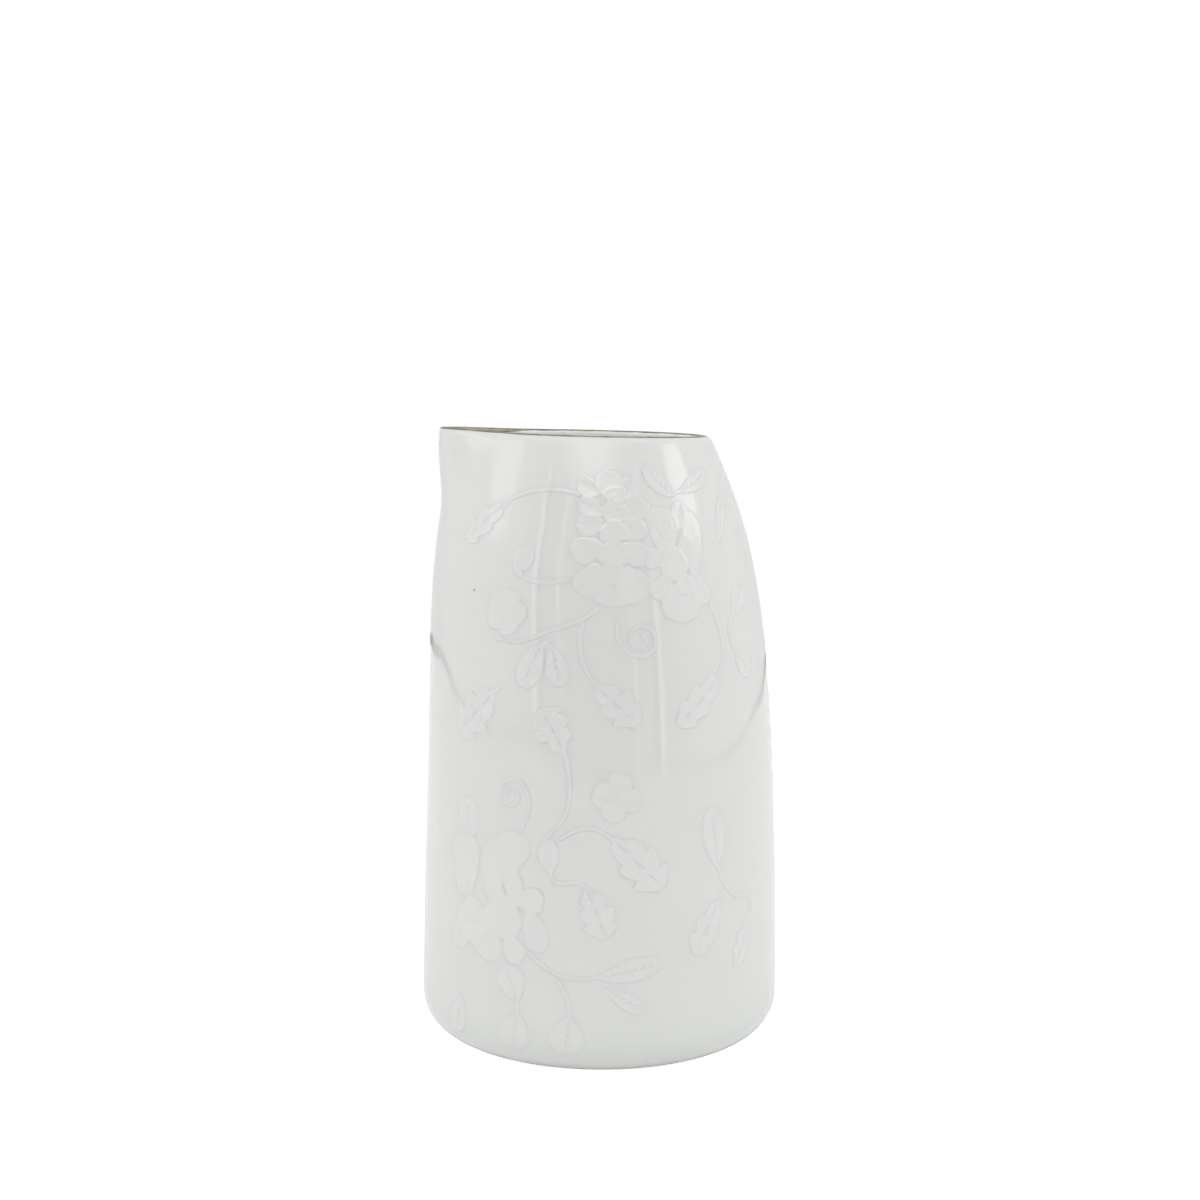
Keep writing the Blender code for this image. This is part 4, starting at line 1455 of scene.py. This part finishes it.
@dataclass
class Studio:
    """Pale table, soft light tent with its opening at the front, and three soft lamps.

    Attributes:
        half_floor: Half the table's side.
        corner: Radius of the table's corners.
        shadow_band_width: Width of its dark band of painted shadow.
        scallop: How far the scallops of the table's edge and its shadow band reach, as a share of the table's size.
        front_gap: Half the turn that the tent's opening takes up, in degrees.
        gap_top: Height angle where the opening ends, in degrees.
        tent_light: Brightness of the tent's sides and top.
        back_light: Brightness of the tent behind the jug.
        gap_light: Brightness of the opening.
        middle_dark: How much darker the lower middle of the opening is.
        seen_light: Brightness of the backdrop.
        glows: Soft lamps that glow through the tent.
    """

    half_floor: float = 0.55
    corner: float = 0.30
    shadow_band_width: float = 0.045
    scallop: float = 0.035
    front_gap: float = 38.0
    gap_top: float = 40.0
    tent_light: float = 1.06
    back_light: float = 0.80
    gap_light: float = 0.55
    middle_dark: float = 0.05
    seen_light: float = 1.0
    glows: tuple = (Glow(-84, 29, 11, 1.0), Glow(84, 29, 10, 1.8), Glow(0, 58, 18, 1.3))

    def rounded_square(self, half: float) -> np.ndarray:
        """Corner-rounded outline of a square with the given half side.

        Args:
            half: Half the side, in metres.

        Returns:
            Points of the outline as (x, y).
        """
        outline = []
        for start, (east, north) in zip((0, 90, 180, 270), ((1, 1), (-1, 1), (-1, -1), (1, -1))):
            for step in range(41):
                angle = math.radians(start + 90 * step / 40)
                outline.append(((half - self.corner) * east + self.corner * math.cos(angle),
                                (half - self.corner) * north + self.corner * math.sin(angle)))
        outline = np.array(outline)
        around = np.arctan2(outline[:, 0], -outline[:, 1])
        return outline * (1 + self.scallop * np.cos(around * 9 + 0.6))[:, None]

    def make_floor(self) -> None:
        """Lay the table top, its edges rounded."""
        depth = 4 * MM
        outline = self.rounded_square(self.half_floor - self.shadow_band_width)
        layers = [np.column_stack([outline * shrink, np.full(len(outline), level)])
                  for shrink, level in ((1.0, -depth), (1.0, -1 * MM), (0.997, -0.05 * MM))]
        faces = ring_faces(3, len(outline))
        faces.append(list(range(len(outline)))[::-1])
        faces.append([2 * len(outline) + place for place in range(len(outline))])
        floor = make_piece("table_top", np.concatenate(layers), faces, crisp=30.0)
        floor.data.materials.append(PaleFloor().build())

    def make_world(self) -> None:
        """Light the tent: white all round, dimmer in the opening that the camera stands in."""
        world = bpy.data.worlds.new("light_tent")
        bpy.context.scene.world = world
        world.use_nodes = True
        tree = world.node_tree
        bench = Bench(tree)
        toward = bench.add("ShaderNodeTexCoord").outputs["Generated"]
        parts = bench.add("ShaderNodeSeparateXYZ", {0: toward}).outputs
        turn = bench.math("ARCTAN2", parts["X"], bench.math("MULTIPLY", parts["Y"], -1.0))
        turn = bench.math("MULTIPLY", turn, 180 / math.pi)
        rise = bench.math("MULTIPLY", bench.math("ARCSINE", parts["Z"]), 180 / math.pi)
        off_front = bench.math("ABSOLUTE", turn)
        beside = bench.step(off_front, self.front_gap - 4, self.front_gap + 30)
        above = bench.step(rise, self.gap_top - 8, self.gap_top + 8)
        closed = bench.math("MAXIMUM", beside, above)
        light = bench.math("MULTIPLY_ADD", closed, self.tent_light - self.gap_light, self.gap_light)
        middle = bench.math("MULTIPLY", bench.math("SUBTRACT", 1.0, bench.step(off_front, 24, 40)),
                            bench.math("SUBTRACT", 1.0, bench.step(rise, 2, 16)))
        light = bench.math("SUBTRACT", light, bench.math("MULTIPLY", middle, self.middle_dark))
        behind = bench.math("MULTIPLY", bench.step(off_front, 112, 140), self.tent_light - self.back_light)
        light = bench.math("SUBTRACT", light, behind)
        pole_off = bench.math("ABSOLUTE", bench.math("SUBTRACT", off_front, 38))
        pole = bench.math("SUBTRACT", 1.0, bench.step(pole_off, 0.8, 2.2))
        pole = bench.math("MULTIPLY", pole, bench.math("SUBTRACT", 1.0, above))
        light = bench.math("MULTIPLY", light, bench.math("MULTIPLY_ADD", pole, -0.9, 1.0))
        shine_off = bench.math("ABSOLUTE", bench.math("SUBTRACT", off_front, 42))
        shine = bench.math("SUBTRACT", 1.0, bench.step(shine_off, 0.8, 2.2))
        shine = bench.math("MULTIPLY", shine, bench.math("SUBTRACT", 1.0, above))
        arch_wide = bench.math("POWER", bench.math("DIVIDE", off_front, 25.0), 5.0)
        arch_tall = bench.math("POWER", bench.math("DIVIDE", bench.math("MAXIMUM", rise, 0.0), 39.0), 5.0)
        arch = bench.math("POWER", bench.math("ADD", arch_wide, arch_tall), 0.2)
        arch_off = bench.math("ABSOLUTE", bench.math("SUBTRACT", arch, 1.0))
        edge = bench.math("SUBTRACT", 1.0, bench.step(arch_off, 0.01, 0.05))
        light = bench.math("ADD", light, bench.math("MULTIPLY", bench.math("MAXIMUM", edge, shine), 1.1))
        for glow in self.glows:
            light = bench.math("ADD", light, glow.shine(bench, turn, rise))
        seen = bench.add("ShaderNodeLightPath").outputs["Is Camera Ray"]
        kept = bench.math("MULTIPLY", light, bench.math("SUBTRACT", 1.0, seen))
        strength = bench.math("ADD", kept, bench.math("MULTIPLY", seen, self.seen_light))
        background = tree.nodes["Background"]
        background.inputs["Color"].default_value = (1.0, 1.0, 1.0, 1)
        tree.links.new(strength, background.inputs["Strength"])

    def make_seam_shadow(self) -> None:
        """Lay a narrow dark band round the table top, out of the camera's sight: a painted shadow of the fold
        between table and tent walls, seen only in reflections.
        """
        bands = [self.rounded_square(self.half_floor - inset) for inset in (self.shadow_band_width, 0.0)]
        layers = [np.column_stack([band, np.full(len(band), level)])
                  for band, level in ((bands[0], 0.6 * MM), (bands[1], 0.6 * MM), (bands[1], -5 * MM),
                                      (bands[0], -5 * MM))]
        points = np.concatenate(layers)
        # Dark band of painted shadow, seen only in the glaze's reflections.
        shadow_band = make_piece("seam_shadow_band", points, ring_faces(4, len(bands[0]), close_rows=True), crisp=30.0)
        shadow_band.data.materials.append(SeamShadowBand().build())
        shadow_band.visible_camera = False

    def build(self) -> None:
        """Set the studio up."""
        self.make_floor()
        self.make_world()
        self.make_seam_shadow()
        bpy.context.scene.view_settings.view_transform = "Standard"
        bpy.context.scene.view_settings.look = "None"


@dataclass(frozen=True)
class ViewCamera:
    """Camera a little above the rim, looking slightly down at the jug's front.

    Attributes:
        distance: Distance in front of the axis.
        height: Height over the table.
        pitch: How far it looks down, in degrees.
        roll: How far it leans, in degrees.
        yaw: How far it looks aside, in degrees.
        focal: Focal length in millimetres on a 36 mm wide frame.
    """

    distance: float = 0.3554
    height: float = 0.12043
    pitch: float = 6.556
    roll: float = 0.357
    yaw: float = 0.052
    focal: float = 58.24

    def build(self) -> None:
        """Place the camera."""
        data = bpy.data.cameras.new("view_camera")
        data.sensor_width = 36.0
        data.lens = self.focal
        data.clip_start = 0.01
        camera = bpy.data.objects.new("view_camera", data)
        turned = (Matrix.Rotation(math.radians(self.yaw), 4, "Z")
                  @ Matrix.Rotation(math.radians(90 - self.pitch), 4, "X")
                  @ Matrix.Rotation(math.radians(self.roll), 4, "Z"))
        camera.matrix_world = Matrix.Translation((0, -self.distance, self.height)) @ turned
        bpy.context.scene.collection.objects.link(camera)
        bpy.context.scene.camera = camera


def report(pieces: list) -> None:
    """Log each piece with its size in faces."""
    for piece in pieces:
        LOG.info("%s: %d faces", piece.name, len(piece.data.polygons))


def main() -> None:
    """Build the jug's looks, the studio and the camera."""
    logging.basicConfig(level=logging.INFO, format="%(name)s %(message)s")
    ViewCamera().build()
    Studio().build()
    shop = Workshop()
    speck = JUG.skin(np.array([-47.0]), np.array([0.0835]), np.zeros(1))[0]
    porcelain = GlazedPorcelain(speck_place=tuple(float(part) for part in speck)).build(shop)
    relief = GlazedPorcelain(name="raised_relief", clay=(0.742, 0.748, 0.724, 1),
                             pooled_and_shaded=(0.68, 0.695, 0.67, 1), pooling_and_shade=0.2).build(shop)
    metal = RimMetal().build(shop)
    body = PorcelainBody()
    pieces = [body.build(porcelain), RimLine().build(body, metal)]
    for face in Face:
        pieces += ReliefFace(face).build(relief)
    report(pieces)


if __name__ == "__main__":
    main()
